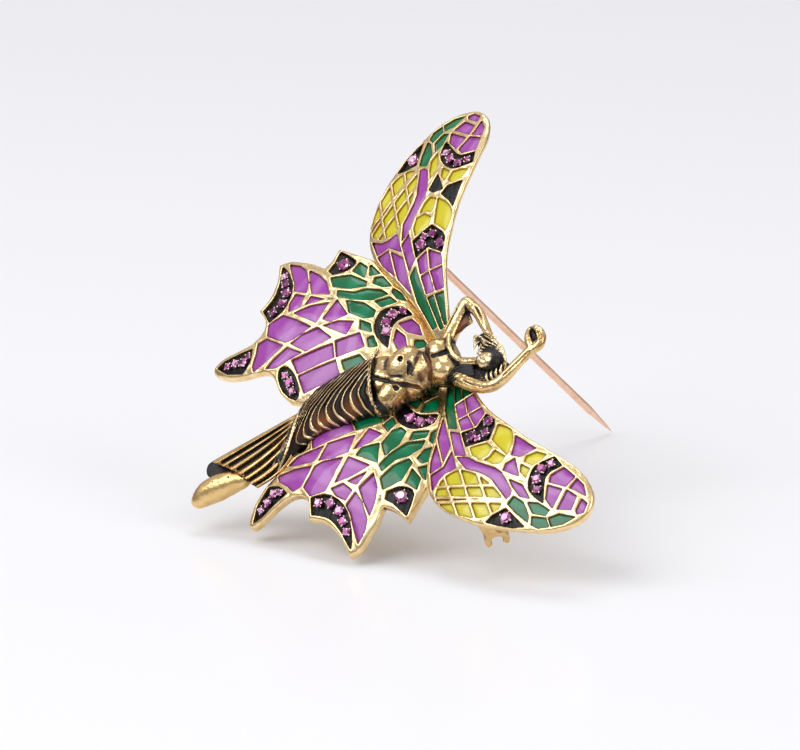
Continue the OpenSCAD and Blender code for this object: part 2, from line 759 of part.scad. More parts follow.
fore_wing(-1);  // fore_wing_left
fore_wing(1);  // fore_wing_right
hind_wing(-1);  // hind_wing_left
hind_wing(1);  // hind_wing_right
fore_purple(-1);  // fore_purple_left
fore_purple(1);  // fore_purple_right
fore_green(-1);  // fore_green_left
fore_green(1);  // fore_green_right
fore_yellow(-1);  // fore_yellow_left
fore_yellow(1);  // fore_yellow_right
fore_black(-1);  // fore_black_left
fore_black(1);  // fore_black_right
hind_purple(-1);  // hind_purple_left
hind_purple(1);  // hind_purple_right
hind_green(-1);  // hind_green_left
hind_green(1);  // hind_green_right
hind_black(-1);  // hind_black_left
hind_black(1);  // hind_black_right
fore_stone_set(-1);  // fore_stones_left
fore_stone_set(1);  // fore_stones_right
hind_stone_set(-1);  // hind_stones_left
hind_stone_set(1);  // hind_stones_right
figure();
skirt();
tail_fan();
tail_lobe();
back_bridge();
pin_joint();
joint_rivet();
pin_stem();
catch();
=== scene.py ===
# The enamelled butterfly-lady brooch: castings, enamel, rhinestones and pin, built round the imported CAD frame
import math

import bmesh
import bpy
import numpy as np
from mathutils import Euler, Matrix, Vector


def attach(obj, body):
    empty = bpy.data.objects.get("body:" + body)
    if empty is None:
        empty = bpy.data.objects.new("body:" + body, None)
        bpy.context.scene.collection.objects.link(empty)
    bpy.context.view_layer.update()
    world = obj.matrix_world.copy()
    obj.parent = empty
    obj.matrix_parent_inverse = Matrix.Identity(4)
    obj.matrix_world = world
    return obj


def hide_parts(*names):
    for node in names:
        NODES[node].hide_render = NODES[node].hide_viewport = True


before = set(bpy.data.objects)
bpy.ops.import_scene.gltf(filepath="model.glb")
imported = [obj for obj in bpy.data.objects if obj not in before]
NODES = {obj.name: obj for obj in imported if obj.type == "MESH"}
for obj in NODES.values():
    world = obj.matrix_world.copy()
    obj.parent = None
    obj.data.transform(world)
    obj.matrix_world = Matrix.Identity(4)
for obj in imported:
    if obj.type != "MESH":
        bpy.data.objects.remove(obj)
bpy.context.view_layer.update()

# The brooch's own axes (mm): X across the wings, Y from tail to head, Z out of the front. STANCE and STAND
# put it on the surface as the frame has it.
STANCE = (35, 36, -76)
STAND = np.array([-22.62, -5.09, 9.67])
TURN = np.array(Euler([math.radians(a) for a in STANCE], "XYZ").to_matrix())
# Camber spheres of the wings: highest point and radius, for a wing on +X. The left fore wing is twisted.
CAMBERS = {("fore", 1): ((21.5, 32.6, 0.9), 45.0), ("fore", -1): ((19.0, 39.1, 1.44), 45.0),
           ("hind", 1): ((11.5, 12.6, 1.4), 33.0), ("hind", -1): ((11.5, 12.6, 1.4), 33.0)}
WING_T = 1.4
POCKET = 0.65                     # depth of the cells
# Thickness of the rims, thinned from the back
EDGE_T = {("fore", 1): 0.85, ("fore", -1): 0.7, ("hind", 1): 1.15, ("hind", -1): 1.0}
RIM_SLOPE = 1.5                   # width over which a rim reaches the full thickness
VEIN_SHY = 0.03                   # the veins' sides are this much inside the CAD's
VEIN_RISE = 0.09                  # how far the veins stand up beside the cells
ENAMEL_DROP = 0.12                # the enamel's surface under the camber, as in the CAD
BED_DROP = 0.3                    # the gem beds' surface
WELD = 3e-6                       # metres; CAD points closer than this are one point


# ---------------------------------------------------------------- camera and light
ELEVATION = math.radians(15.4)
DISTANCE = 869.7
AIM = np.array([-0.95, 58.73, 1.27])
cam_data = bpy.data.cameras.new("camera")
cam_data.lens = 292.5
cam_data.sensor_width = 36
cam_data.clip_start = 0.01
cam_data.clip_end = 20
camera = bpy.data.objects.new("camera", cam_data)
bpy.context.scene.collection.objects.link(camera)
camera.location = (AIM + DISTANCE * np.array([0, -math.cos(ELEVATION), math.sin(ELEVATION)])) / 1000
camera.rotation_euler = (math.pi / 2 - ELEVATION, 0, 0)
bpy.context.scene.camera = camera
bpy.context.scene.view_settings.view_transform = "Standard"


def softbox(name, place, size, power, colour=(1, 1, 1), target=(0, 0.01, 0.02)):
    data = bpy.data.lights.new(name, "AREA")
    data.shape = "RECTANGLE"
    data.size, data.size_y = size
    data.energy = power
    data.color = colour
    o = bpy.data.objects.new(name, data)
    bpy.context.scene.collection.objects.link(o)
    o.location = place
    o.rotation_euler = (Vector(target) - Vector(place)).to_track_quat("-Z", "Y").to_euler()


softbox("key", (-0.55, -0.35, 0.75), (0.8, 0.6), 4.6)
softbox("fill", (0.7, -0.45, 0.5), (0.35, 0.5), 1.5)
softbox("top", (0.05, 0.35, 0.95), (0.6, 0.5), 2.4)

world = bpy.data.worlds.new("world")
bpy.context.scene.world = world
world.use_nodes = True
sky = world.node_tree
height = sky.nodes.new("ShaderNodeSeparateXYZ")
sky.links.new(sky.nodes.new("ShaderNodeTexCoord").outputs["Generated"], height.inputs[0])
shades = sky.nodes.new("ShaderNodeValToRGB")
shades.color_ramp.elements[0].position = 0.08
shades.color_ramp.elements[0].color = (0.3, 0.29, 0.3, 1)
shades.color_ramp.elements[1].position = 0.45
shades.color_ramp.elements[1].color = (0.96, 0.96, 1.0, 1)
sky.links.new(height.outputs["Z"], shades.inputs["Fac"])
sky.links.new(shades.outputs["Color"], sky.nodes["Background"].inputs["Color"])
sky.nodes["Background"].inputs["Strength"].default_value = 0.68


# ---------------------------------------------------------------- geometry helpers
def to_local(row):
    return (np.asarray(row) * 1000 - STAND) @ TURN


def to_row(local):
    return (np.asarray(local) @ TURN.T + STAND) / 1000


def face_z(camber, x, y, drop=0.0):
    """Height of a wing's camber, or of the sphere that lies drop below it, at a point of the plan."""
    (tx, ty, tz), r = camber
    return tz - r + np.sqrt(np.maximum((r - drop) ** 2 - (x - tx) ** 2 - (y - ty) ** 2, 0))


def build(name, verts, faces, material, body="brooch", slot=None, replaces=(), smooth=True, **values):
    """A mesh piece riding on a body, from points in the brooch's axes and faces; values are per point."""
    verts = to_row(verts)
    faces = faces if isinstance(faces, list) else [faces]
    me = bpy.data.meshes.new(name)
    me.vertices.add(len(verts))
    me.vertices.foreach_set("co", verts.astype(np.float32).ravel())
    sizes = np.concatenate([np.full(len(f), f.shape[1], np.int32) for f in faces])
    corners = np.concatenate([f.ravel() for f in faces]).astype(np.int32)
    me.loops.add(len(corners))
    me.loops.foreach_set("vertex_index", corners)
    me.polygons.add(len(sizes))
    me.polygons.foreach_set("loop_start", np.concatenate([[0], np.cumsum(sizes)[:-1]]).astype(np.int32))
    me.update(calc_edges=True)
    me.validate()
    me.polygons.foreach_set("use_smooth", np.full(len(me.polygons), smooth))
    for key, v in values.items():
        me.attributes.new(key, "FLOAT", "POINT").data.foreach_set("value", v.astype(np.float32))
    me.materials.append(material)
    o = bpy.data.objects.new(name, me)
    bpy.context.scene.collection.objects.link(o)
    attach(o, body)
    if replaces:
        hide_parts(*replaces)


def nets(f, origin, step):
    """Points and quads on the zero surface of a grid of signed distances (surface nets)."""
    origin, step = np.asarray(origin, float), np.asarray(step, float) * np.ones(3)
    s = f < 0
    count = sum(s[a:a + s.shape[0] - 1, b:b + s.shape[1] - 1, c:c + s.shape[2] - 1].astype(np.int8)
                for a in (0, 1) for b in (0, 1) for c in (0, 1))
    live = (count > 0) & (count < 8)
    cells = np.argwhere(live)
    number = np.full(live.shape, -1, np.int64)
    number[live] = np.arange(len(cells))
    total, hits = np.zeros((len(cells), 3)), np.zeros(len(cells))
    for axis in range(3):
        others = [a for a in range(3) if a != axis]
        for p in (0, 1):
            for q in (0, 1):
                base = np.zeros(3, int)
                base[others[0]], base[others[1]] = p, q
                tip = base.copy()
                tip[axis] = 1
                va = f[tuple((cells + base).T)]
                vb = f[tuple((cells + tip).T)]
                cross = (va < 0) != (vb < 0)
                t = np.where(cross, va / np.where(va == vb, 1, va - vb), 0)
                point = base + t[:, None] * (tip - base)
                total += point * cross[:, None]
                hits += cross
    verts = (cells + total / np.maximum(hits, 1)[:, None]) * step + origin
    quads = []
    for axis in range(3):
        b, c = [(1, 2), (2, 0), (0, 1)][axis]
        low = [slice(None)] * 3
        high = [slice(None)] * 3
        low[axis], high[axis] = slice(None, -1), slice(1, None)
        change = s[tuple(low)] != s[tuple(high)]
        for d in (b, c):
            edge = [slice(None)] * 3
            edge[d] = 0
            change[tuple(edge)] = False
            edge[d] = -1
            change[tuple(edge)] = False
        at = np.argwhere(change)
        shift_b, shift_c = np.eye(3, dtype=int)[b], np.eye(3, dtype=int)[c]
        corners = ((1, 1), (0, 1), (0, 0), (1, 0))
        ring = [number[tuple((at - i * shift_b - j * shift_c).T)] for i, j in corners]
        quad = np.stack(ring, 1)
        outward = s[tuple(at.T)]
        quads.append(np.where(outward[:, None], quad, quad[:, ::-1]))
    return verts, np.concatenate(quads)


def blur(f, radius, passes=2):
    """Box blur over radius samples each way, along every axis."""
    for _ in range(passes):
        for axis in range(f.ndim):
            n = 2 * radius + 1
            padded = np.concatenate([np.repeat(np.take(f, [0], axis), radius + 1, axis), f,
                                     np.repeat(np.take(f, [-1], axis), radius, axis)], axis)
            total = np.cumsum(padded, axis)
            upper = np.take(total, range(n, total.shape[axis]), axis)
            lower = np.take(total, range(0, total.shape[axis] - n), axis)
            f = (upper - lower) / n
    return f


def sample(f, verts, origin, step):
    """The grid's value at each point, by the nearest eight samples."""
    g = (verts - np.asarray(origin)) / (np.asarray(step) * np.ones(3))
    g = np.clip(g, 0, np.array(f.shape) - 1.001)
    i = g.astype(int)
    t = g - i
    out = 0
    share = (1 - t, t)
    for a in (0, 1):
        for b in (0, 1):
            for c in (0, 1):
                w = share[a][:, 0] * share[b][:, 1] * share[c][:, 2]
                out = out + w * f[i[:, 0] + a, i[:, 1] + b, i[:, 2] + c]
    return out


def smooth_min(a, b, k):
    h = np.clip(0.5 + 0.5 * (b - a) / k, 0, 1)
    return b + (a - b) * h - k * h * (1 - h)


def smooth_max(a, b, k):
    return -smooth_min(-a, -b, k)


def wobble(x, y, scale, seed):
    """A soft random field of about -1 to 1, from a few sine waves."""
    r = np.random.default_rng(seed)
    out = np.zeros(np.broadcast(x, y).shape)
    for i in range(7):
        a, f, p = r.uniform(0, math.tau), (0.6 + 0.35 * i) / scale, r.uniform(0, math.tau)
        out += np.sin((x * math.cos(a) + y * math.sin(a)) * f * math.tau + p) / 3.2
    return out


def plan_loops(name, camber, side, level, facing=1, tolerance=0.05):
    """Outlines, in plan, of a CAD node's faces that lie at one level below the camber and look one way."""
    bm = bmesh.new()
    bm.from_mesh(NODES[name].data)
    bmesh.ops.remove_doubles(bm, verts=bm.verts, dist=WELD)
    up = Vector(TURN[:, 2]) * facing
    local = to_local(np.array([v.co for v in bm.verts]))
    local[:, 0] *= side
    depth = local[:, 2] - face_z(camber, local[:, 0], local[:, 1])
    at_level = np.abs(depth + level) < tolerance
    bm.faces.ensure_lookup_table()
    tilt = np.array([f.normal.dot(up) for f in bm.faces])
    links = {}
    for e in bm.edges:
        a, b = e.verts[0].index, e.verts[1].index
        if len(e.link_faces) != 2 or not (at_level[a] and at_level[b]):
            continue
        one, two = sorted(tilt[f.index] for f in e.link_faces)
        if two > 0.6 and one < 0.35:
            links.setdefault(a, []).append(b)
            links.setdefault(b, []).append(a)
    loops = []
    while links:
        start = next(iter(links))
        ring = [start]
        here = start
        while links.get(here):
            there = links[here].pop()
            links[there].remove(here)
            if not links[here]:
                del links[here]
            if there == start:
                break
            ring.append(there)
            here = there
        links = {k: v for k, v in links.items() if v}
        if len(ring) > 2:
            loops.append(local[ring][:, :2])
    bm.free()
    return [straight(p) for p in loops]


def back_outline(name, camber, side):
    """A wing's outline, from its back, whose depth varies with the slope; so the tolerance is wide."""
    return max(plan_loops(name, camber, side, WING_T, -1, 0.45), key=area)


def straight(p, least=0.012):
    """Leaves out the points of a ring that lie on the line between their neighbours."""
    keep = list(range(len(p)))
    changed = True
    while changed and len(keep) > 3:
        changed = False
        for k in range(len(keep)):
            a, b, c = p[keep[k - 1]], p[keep[k]], p[keep[(k + 1) % len(keep)]]
            d = c - a
            off = abs(d[0] * (b - a)[1] - d[1] * (b - a)[0]) / max(np.hypot(*d), 1e-9)
            if off < least:
                del keep[k]
                changed = True
                break
    return p[keep]


def area(p):
    q = np.roll(p, -1, 0)
    return abs((p[:, 0] * q[:, 1] - p[:, 1] * q[:, 0]).sum()) / 2


def ring_distance(x, y, ring):
    """Signed distance in plan to a closed ring, negative inside."""
    best = np.full(x.shape, 1e9)
    inside = np.zeros(x.shape, bool)
    for a, b in zip(ring, np.roll(ring, -1, 0)):
        d = b - a
        t = np.clip(((x - a[0]) * d[0] + (y - a[1]) * d[1]) / max(d @ d, 1e-12), 0, 1)
        best = np.minimum(best, (x - a[0] - t * d[0]) ** 2 + (y - a[1] - t * d[1]) ** 2)
        if a[1] != b[1]:
            cut = (a[1] > y) != (b[1] > y)
            inside ^= cut & (x < (b[0] - a[0]) * (y - a[1]) / (b[1] - a[1]) + a[0])
    return np.sqrt(best) * np.where(inside, -1, 1)


def plan_grid(rings, step, margin=0.6):
    every = np.concatenate(rings)
    lo, hi = every.min(0) - margin, every.max(0) + margin
    gx, gy = np.arange(lo[0], hi[0], step), np.arange(lo[1], hi[1], step)
    return gx, gy, *np.meshgrid(gx, gy, indexing="ij")


def near(ring, x, y, gx, gy, reach):
    """Signed distance to a ring, worked out only round the ring; reach elsewhere."""
    out = np.full(x.shape, reach)
    lo, hi = ring.min(0) - reach, ring.max(0) + reach
    i0, i1 = np.searchsorted(gx, [lo[0], hi[0]])
    j0, j1 = np.searchsorted(gy, [lo[1], hi[1]])
    part = (slice(i0, i1), slice(j0, j1))
    out[part] = np.minimum(reach, ring_distance(x[part], y[part], ring))
    return out


# ---------------------------------------------------------------- materials
def material(name):
    m = bpy.data.materials.new(name)
    m.use_nodes = True
    t = m.node_tree
    return m, t, t.nodes["Principled BSDF"]


def node(t, kind, **values):
    n = t.nodes.new(kind)
    for k, v in values.items():
        if k in n.inputs:
            n.inputs[k].default_value = v
        else:
            setattr(n, k, v)
    return n


def noise(t, scale, detail=3.0, rough=0.55, distortion=0.0):
    """Noise in the piece's own place; scale is in waves per metre."""
    where = t.nodes.get("place") or node(t, "ShaderNodeTexCoord", name="place")
    n = node(t, "ShaderNodeTexNoise", Scale=scale, Detail=detail, Roughness=rough, Distortion=distortion)
    t.links.new(where.outputs["Object"], n.inputs["Vector"])
    return n.outputs["Fac"]


def ramp(t, value, stops):
    """A colour or grey ramp of (position, colour) stops."""
    n = node(t, "ShaderNodeValToRGB")
    t.links.new(value, n.inputs["Fac"])
    e = n.color_ramp.elements
    while len(e) < len(stops):
        e.new(0.5)
    for i, (p, c) in enumerate(stops):
        e[i].position = p
        e[i].color = (c, c, c, 1) if isinstance(c, (int, float)) else (*c, 1)
    return n.outputs["Color"]


def mix(t, factor, a, b):
    n = node(t, "ShaderNodeMix", data_type="RGBA", blend_type="MIX")
    for socket, v in ((n.inputs[0], factor), (n.inputs[6], a), (n.inputs[7], b)):
        if isinstance(v, bpy.types.NodeSocket):
            t.links.new(v, socket)
        else:
            socket.default_value = v if isinstance(v, (int, float)) else (*v, 1)
    return n.outputs[2]


def maths(t, op, a, b):
    n = node(t, "ShaderNodeMath", operation=op)
    for socket, v in ((n.inputs[0], a), (n.inputs[1], b)):
        if isinstance(v, bpy.types.NodeSocket):
            t.links.new(v, socket)
        else:
            socket.default_value = v
    return n.outputs[0]


def attribute(t, name):
    return node(t, "ShaderNodeAttribute", attribute_name=name).outputs["Fac"]


def bump(t, p, height, distance, strength=1.0):
    n = node(t, "ShaderNodeBump", Distance=distance, Strength=strength)
    t.links.new(height, n.inputs["Height"])
    t.links.new(n.outputs["Normal"], p.inputs["Normal"])


AMBER = (0.33, 0.1, 0.015)        # the colour of the patina, and of painted brown shade, where "warm" is 1


def old_metal(name, bright, deep, tarnish_shade_colour, wear=(0.35, 0.6), rough=0.24, pits=0.3, clouds=0.45):
    """Cast metal with a dark patina in its hollows, painted shade where a piece adds it to the same darkening,
    and rubbed bright high spots.
    """
    m, t, p = material(name)
    hollow = attribute(t, "hollow")
    cloud = noise(t, 700, 4, 0.6)
    fine = noise(t, 3500, 3, 0.6)
    # Darkening: the patina and the painted shade that a piece carries, with clouds of tarnish and fine pits.
    tarnish_and_shade = maths(t, "ADD", hollow, maths(t, "MULTIPLY", maths(t, "SUBTRACT", cloud, 0.5), clouds))
    tarnish_and_shade = maths(t, "ADD", tarnish_and_shade, maths(t, "MULTIPLY", maths(t, "SUBTRACT", fine, 0.5), pits))
    dark = ramp(t, tarnish_and_shade, [(wear[0], 0.0), (wear[1], 1.0)])
    tone = ramp(t, cloud, [(0.3, deep), (0.62, bright)])
    tarnish_shade_colour = mix(t, attribute(t, "warm"), tarnish_shade_colour, AMBER)
    t.links.new(mix(t, dark, tone, tarnish_shade_colour), p.inputs["Base Color"])
    t.links.new(ramp(t, tarnish_and_shade, [(wear[0], 1.0), (wear[1], 0.3)]), p.inputs["Metallic"])
    spread = maths(t, "ADD", maths(t, "MULTIPLY", dark, 0.2), maths(t, "MULTIPLY", fine, 0.12))
    t.links.new(maths(t, "ADD", spread, rough - 0.06), p.inputs["Roughness"])
    bump(t, p, maths(t, "ADD", fine, maths(t, "MULTIPLY", cloud, 1.5)), 0.00003, 0.5)
    return m


def enamel(name, base, light, dark, highlight_strength, rough=0.16, coat=0.4):
    """Glossy cold enamel with painted highlight streaks, and painted shade where it meets the metal."""
    m, t, p = material(name)
    edge = attribute(t, "edge")
    shade = attribute(t, "shade")
    streak = noise(t, 420, 2, 0.5, 0.6)
    grain = noise(t, 2600, 2, 0.5)
    # Painted highlight: streaks in each cell lighten the enamel towards its light colour.
    lit = maths(t, "ADD", maths(t, "MULTIPLY", shade, 0.6), maths(t, "MULTIPLY", streak, 0.6))
    colour = mix(t, ramp(t, lit, [(0.42, 0.0), (0.78, highlight_strength)]), base, light)
    # Painted shade: the enamel darkens towards its dark colour where it meets the metal.
    colour = mix(t, ramp(t, edge, [(0.0, 0.9), (0.5, 0.25), (1.0, 0.0)]), colour, dark)
    t.links.new(colour, p.inputs["Base Color"])
    p.inputs["Roughness"].default_value = rough
    p.inputs["Specular IOR Level"].default_value = 0.3
    p.inputs["Coat Weight"].default_value = coat
    p.inputs["Coat Roughness"].default_value = 0.05
    bump(t, p, maths(t, "ADD", maths(t, "MULTIPLY", streak, 4.0), grain), 0.00003, 0.35)
    return m


def cut_glass(name, dark, middle, light):
    """Foil-backed stones, every facet in its own tone: painted glints and painted dark facets."""
    m, t, p = material(name)
    colour = ramp(t, attribute(t, "tone"), [(0.1, dark), (0.55, middle), (0.95, light)])
    t.links.new(colour, p.inputs["Base Color"])
    p.inputs["Metallic"].default_value = 0.5
    p.inputs["Roughness"].default_value = 0.1
    p.inputs["Coat Weight"].default_value = 0.8
    p.inputs["Coat Roughness"].default_value = 0.02
    return m


INK = (0.006, 0.004, 0.004)
GOLD = old_metal("antique_gold", (0.97, 0.76, 0.43), (0.78, 0.53, 0.23), (0.05, 0.03, 0.015), (0.45, 0.64))
DARK_GOLD = old_metal("antique_gold_dark", (0.88, 0.65, 0.33), (0.6, 0.37, 0.14), INK,
                      (0.42, 0.6), 0.17, 0.2, 0.35)
HAIR_GOLD = old_metal("hair_gold", (0.95, 0.76, 0.46), (0.6, 0.42, 0.2), INK, (0.18, 0.34), 0.2, 0.2, 0.3)
PLAIN_GOLD = old_metal("plain_gold", (0.84, 0.6, 0.27), (0.7, 0.46, 0.18), INK, (0.55, 0.75), 0.3)
DRAPE_GOLD = old_metal("drape_gold", (0.97, 0.78, 0.5), (0.66, 0.4, 0.16), INK,
                       (0.25, 0.42), 0.2, 0.2, 0.25)
ROSE = old_metal("rose_gold", (0.98, 0.68, 0.5), (0.88, 0.55, 0.38), (0.5, 0.3, 0.2),
                 (0.7, 0.95), 0.45, 0.15)
# The prong beads are near white: painted glints on small beads.
PRONG = old_metal("prongs", (0.95, 0.85, 0.8), (0.8, 0.6, 0.55), INK, (0.8, 1.0), 0.15, 0.1)
PURPLE = enamel("purple_enamel", (0.34, 0.05, 0.37), (0.56, 0.27, 0.6), (0.07, 0.008, 0.08), 0.4)
GREEN = enamel("green_enamel", (0.0, 0.135, 0.045), (0.0, 0.32, 0.15), (0.0, 0.022, 0.01), 0.35)
YELLOW = enamel("yellow_enamel", (0.66, 0.57, 0.01), (0.82, 0.74, 0.12), (0.2, 0.13, 0.0), 0.4)
BLACK = enamel("black_enamel", (0.004, 0.003, 0.004), (0.02, 0.008, 0.014), (0.001, 0.001, 0.001),
               0.25, 0.4, 0.02)
STONE = cut_glass("rhinestone", (0.06, 0.003, 0.045), (0.5, 0.07, 0.33), (1.0, 0.62, 0.86))


# ---------------------------------------------------------------- wing castings and enamel
# The colours of each wing's cells, with the level of their surface
CELLS = {"fore": (("purple", ENAMEL_DROP), ("green", ENAMEL_DROP), ("yellow", ENAMEL_DROP),
                  ("black", ENAMEL_DROP), ("black", BED_DROP)),
         "hind": (("purple", ENAMEL_DROP), ("green", ENAMEL_DROP), ("black", BED_DROP))}
PAINT = {"purple": PURPLE, "green": GREEN, "yellow": YELLOW, "black": BLACK}


def casting(part, word, side, seed, step=0.08):
    """One wing's metal: a plate with its cells sunk in. A hind wing leaves its fore wing's space free."""
    name = f"{part}_wing_{word}"
    camber = CAMBERS[part, side]
    outline = back_outline(name, camber, side)
    gx, gy, x, y = plan_grid([outline], step)
    rim = near(outline, x, y, gx, gy, RIM_SLOPE)
    pocket = np.full(x.shape, RIM_SLOPE)
    for paint, drop in CELLS[part]:
        for c in plan_loops(f"{part}_{paint}_{word}", camber, side, drop):
            pocket = np.minimum(pocket, near(c, x, y, gx, gy, RIM_SLOPE))
    pocket = blur(pocket, 1, 1)
    thick = np.where(rim < 0.5, face_z(camber, x, y) - face_z(camber, x, y, WING_T), WING_T)[:, :, None]
    w = np.arange(-thick.max() - 0.3, 0.35, step)[None, None, :]
    dent = 0.03 * wobble(x, y, 3.0, seed)[:, :, None]
    inward = np.clip(-rim / RIM_SLOPE, 0, 1)[:, :, None]
    edge = EDGE_T[part, side] + inward * (thick - EDGE_T[part, side])
    proud = VEIN_RISE * np.exp(-(np.clip(pocket, 0, 3) / 0.45) ** 2)[:, :, None]
    plate = np.maximum(w + dent - 0.02 - proud, -(w + edge))
    f = smooth_max(rim[:, :, None], plate, 0.3)
    hole = np.maximum(pocket[:, :, None] - VEIN_SHY, -(w + POCKET))
    f = smooth_max(f, -hole, 0.14)
    if part == "hind":
        upper = CAMBERS["fore", side]
        over = near(back_outline(f"fore_wing_{word}", upper, side), x, y, gx, gy, RIM_SLOPE)
        depth = face_z(camber, x, y)[:, :, None] + w - face_z(upper, x, y, WING_T)[:, :, None]
        f = smooth_max(f, -np.maximum(over[:, :, None], -depth), 0.1)
    origin = (gx[0], gy[0], w[0, 0, 0])
    verts, quads = nets(f, origin, step)
    soft = sample(blur(f, 3), verts, origin, step)
    hollow = np.clip(0.46 - soft / 0.35, 0, 1)
    verts[:, 2] += face_z(camber, verts[:, 0], verts[:, 1])
    finish_side(name, verts, quads, side, GOLD, "antique_gold", hollow=hollow)


def finish_side(name, verts, quads, side, mat, slot_name, **values):
    """A piece of a wing; points are given for the right side and mirrored for the left."""
    if side < 0:
        verts = verts * [-1, 1, 1]
        quads = quads[:, ::-1]
    build(name + "_piece", verts, quads, mat, slot=slot_name, replaces=(name,), **values)


def fill(part, paint, word, side, seed, step=0.13):
    """The enamel or gem bed of one colour in one wing, a little domed and uneven in every cell."""
    name = f"{part}_{paint}_{word}"
    camber = CAMBERS[part, side]
    levels = [drop for p, drop in CELLS[part] if p == paint]
    cells = [(c, drop) for drop in levels for c in plan_loops(name, camber, side, drop)]
    gx, gy, x, y = plan_grid([c for c, _ in cells], step)
    inside = np.full(x.shape, 1.0)
    top = np.zeros(x.shape)
    shade = np.zeros(x.shape)
    r = np.random.default_rng(seed)
    for c, drop in cells:
        d = near(c, x, y, gx, gy, 1.0)
        cx, cy = c.mean(0)
        lean, turn = r.uniform(0.0, 0.07), r.uniform(0, math.tau)
        tilt = lean * ((x - cx) * math.cos(turn) + (y - cy) * math.sin(turn))
        bulge = r.uniform(0.05, 0.12) * (1 - np.exp(-np.clip(-d, 0, 2) / 0.5))
        here = d < 0.3
        top = np.where(here, np.clip(tilt, -0.12, 0.12) + bulge - drop, top)
        # A painted highlight streak across each cell, at a random angle, place and strength.
        angle = r.uniform(1.9, 2.8)
        along = ((x - cx) * math.cos(angle) + (y - cy) * math.sin(angle)) / math.sqrt(area(c))
        streak = np.exp(-((along - r.uniform(-0.1, 0.5)) / 0.28) ** 2)
        shade = np.where(here, streak * r.uniform(0.5, 1.1), shade)
        inside = np.minimum(inside, d)
    top = blur(top, 1, 1)
    if paint == "black":
        top = top + 0.05 * wobble(x, y, 0.6, seed)
    w = np.arange(-POCKET - 0.15, 0.35, step)[None, None, :]
    level = (top - 0.1)[:, :, None]
    f = smooth_max(np.maximum(w - level, -(w + POCKET - 0.05)), inside[:, :, None] - 0.08 - VEIN_SHY, 0.04)
    verts, quads = nets(f, (gx[0], gy[0], w[0, 0, 0]), step)
    flat = verts * [1, 1, 0]
    # How far each point is from its cell's wall, for the painted shade along the metal.
    edge = np.clip(-sample(inside[:, :, None].repeat(2, 2), flat, (gx[0], gy[0], 0), step) / 0.28, 0, 1)
    lit = sample(shade[:, :, None].repeat(2, 2), flat, (gx[0], gy[0], 0), step)
    verts[:, 2] += face_z(camber, verts[:, 0], verts[:, 1])
    finish_side(name, verts, quads, side, PAINT[paint], paint + "_enamel", edge=edge, shade=lit)


# ---------------------------------------------------------------- rhinestones and their prongs
SIDES = 8                         # of a cut stone
BEAD_R = 0.12
PRONGS = 4


def loose_parts(name):
    """Points of every loose part of a CAD node, in the brooch's axes."""
    bm = bmesh.new()
    bm.from_mesh(NODES[name].data)
    bmesh.ops.remove_doubles(bm, verts=bm.verts, dist=WELD)
    parts, seen_before = [], set()
    for v in bm.verts:
        if v in seen_before:
            continue
        stack, part = [v], []
        seen_before.add(v)
        while stack:
            u = stack.pop()
            part.append(u.co[:])
            for e in u.link_edges:
                o = e.other_vert(u)
                if o not in seen_before:
                    seen_before.add(o)
                    stack.append(o)
        parts.append(to_local(np.array(part)))
    bm.free()
    return parts


def chaton(radius, spin):
    """A cut stone about the origin, Z up: table, two rows of crown facets, girdle. No point is shared."""
    rows = []
    for share, height, phase in ((1.0, -0.35, 0), (1.0, 0.0, 0), (0.86, 0.3, 0.5), (0.56, 0.52, 0)):
        a = spin + (np.arange(SIDES) + phase) * math.tau / SIDES
        rows.append(radius * np.stack([share * np.cos(a), share * np.sin(a), np.full(SIDES, height)], 1))
    facets = []
    for k in range(SIDES):
        n = (k + 1) % SIDES
        facets.append([rows[0][k], rows[0][n], rows[1][n], rows[1][k]])
        facets.append([rows[1][k], rows[1][n], rows[2][k]])
        facets.append([rows[1][n], rows[2][n], rows[2][k]])
        facets.append([rows[2][k], rows[2][n], rows[3][n]])
        facets.append([rows[3][k], rows[2][k], rows[3][n]])
    facets.append(list(rows[3]))
    facets.append(list(rows[0][::-1]))
    return facets


def ball_mesh(radius, rings=5, around=8):
    """A small ball's points and triangles."""
    points, quads = [(0, 0, radius)], []
    for i in range(1, rings):
        for j in range(around):
            a, b = math.pi * i / rings, math.tau * j / around
            points.append((radius * math.sin(a) * math.cos(b), radius * math.sin(a) * math.sin(b),
                           radius * math.cos(a)))
    points.append((0, 0, -radius))
    last = len(points) - 1
    for j in range(around):
        n = (j + 1) % around
        quads.append((0, 1 + j, 1 + n))
        quads.append((last, last - around + n, last - around + j))
        for i in range(rings - 2):
            a, b = 1 + i * around, 1 + (i + 1) * around
            quads.append((a + j, b + j, b + n))
            quads.append((a + j, b + n, a + n))
    return np.array(points), np.array(quads)


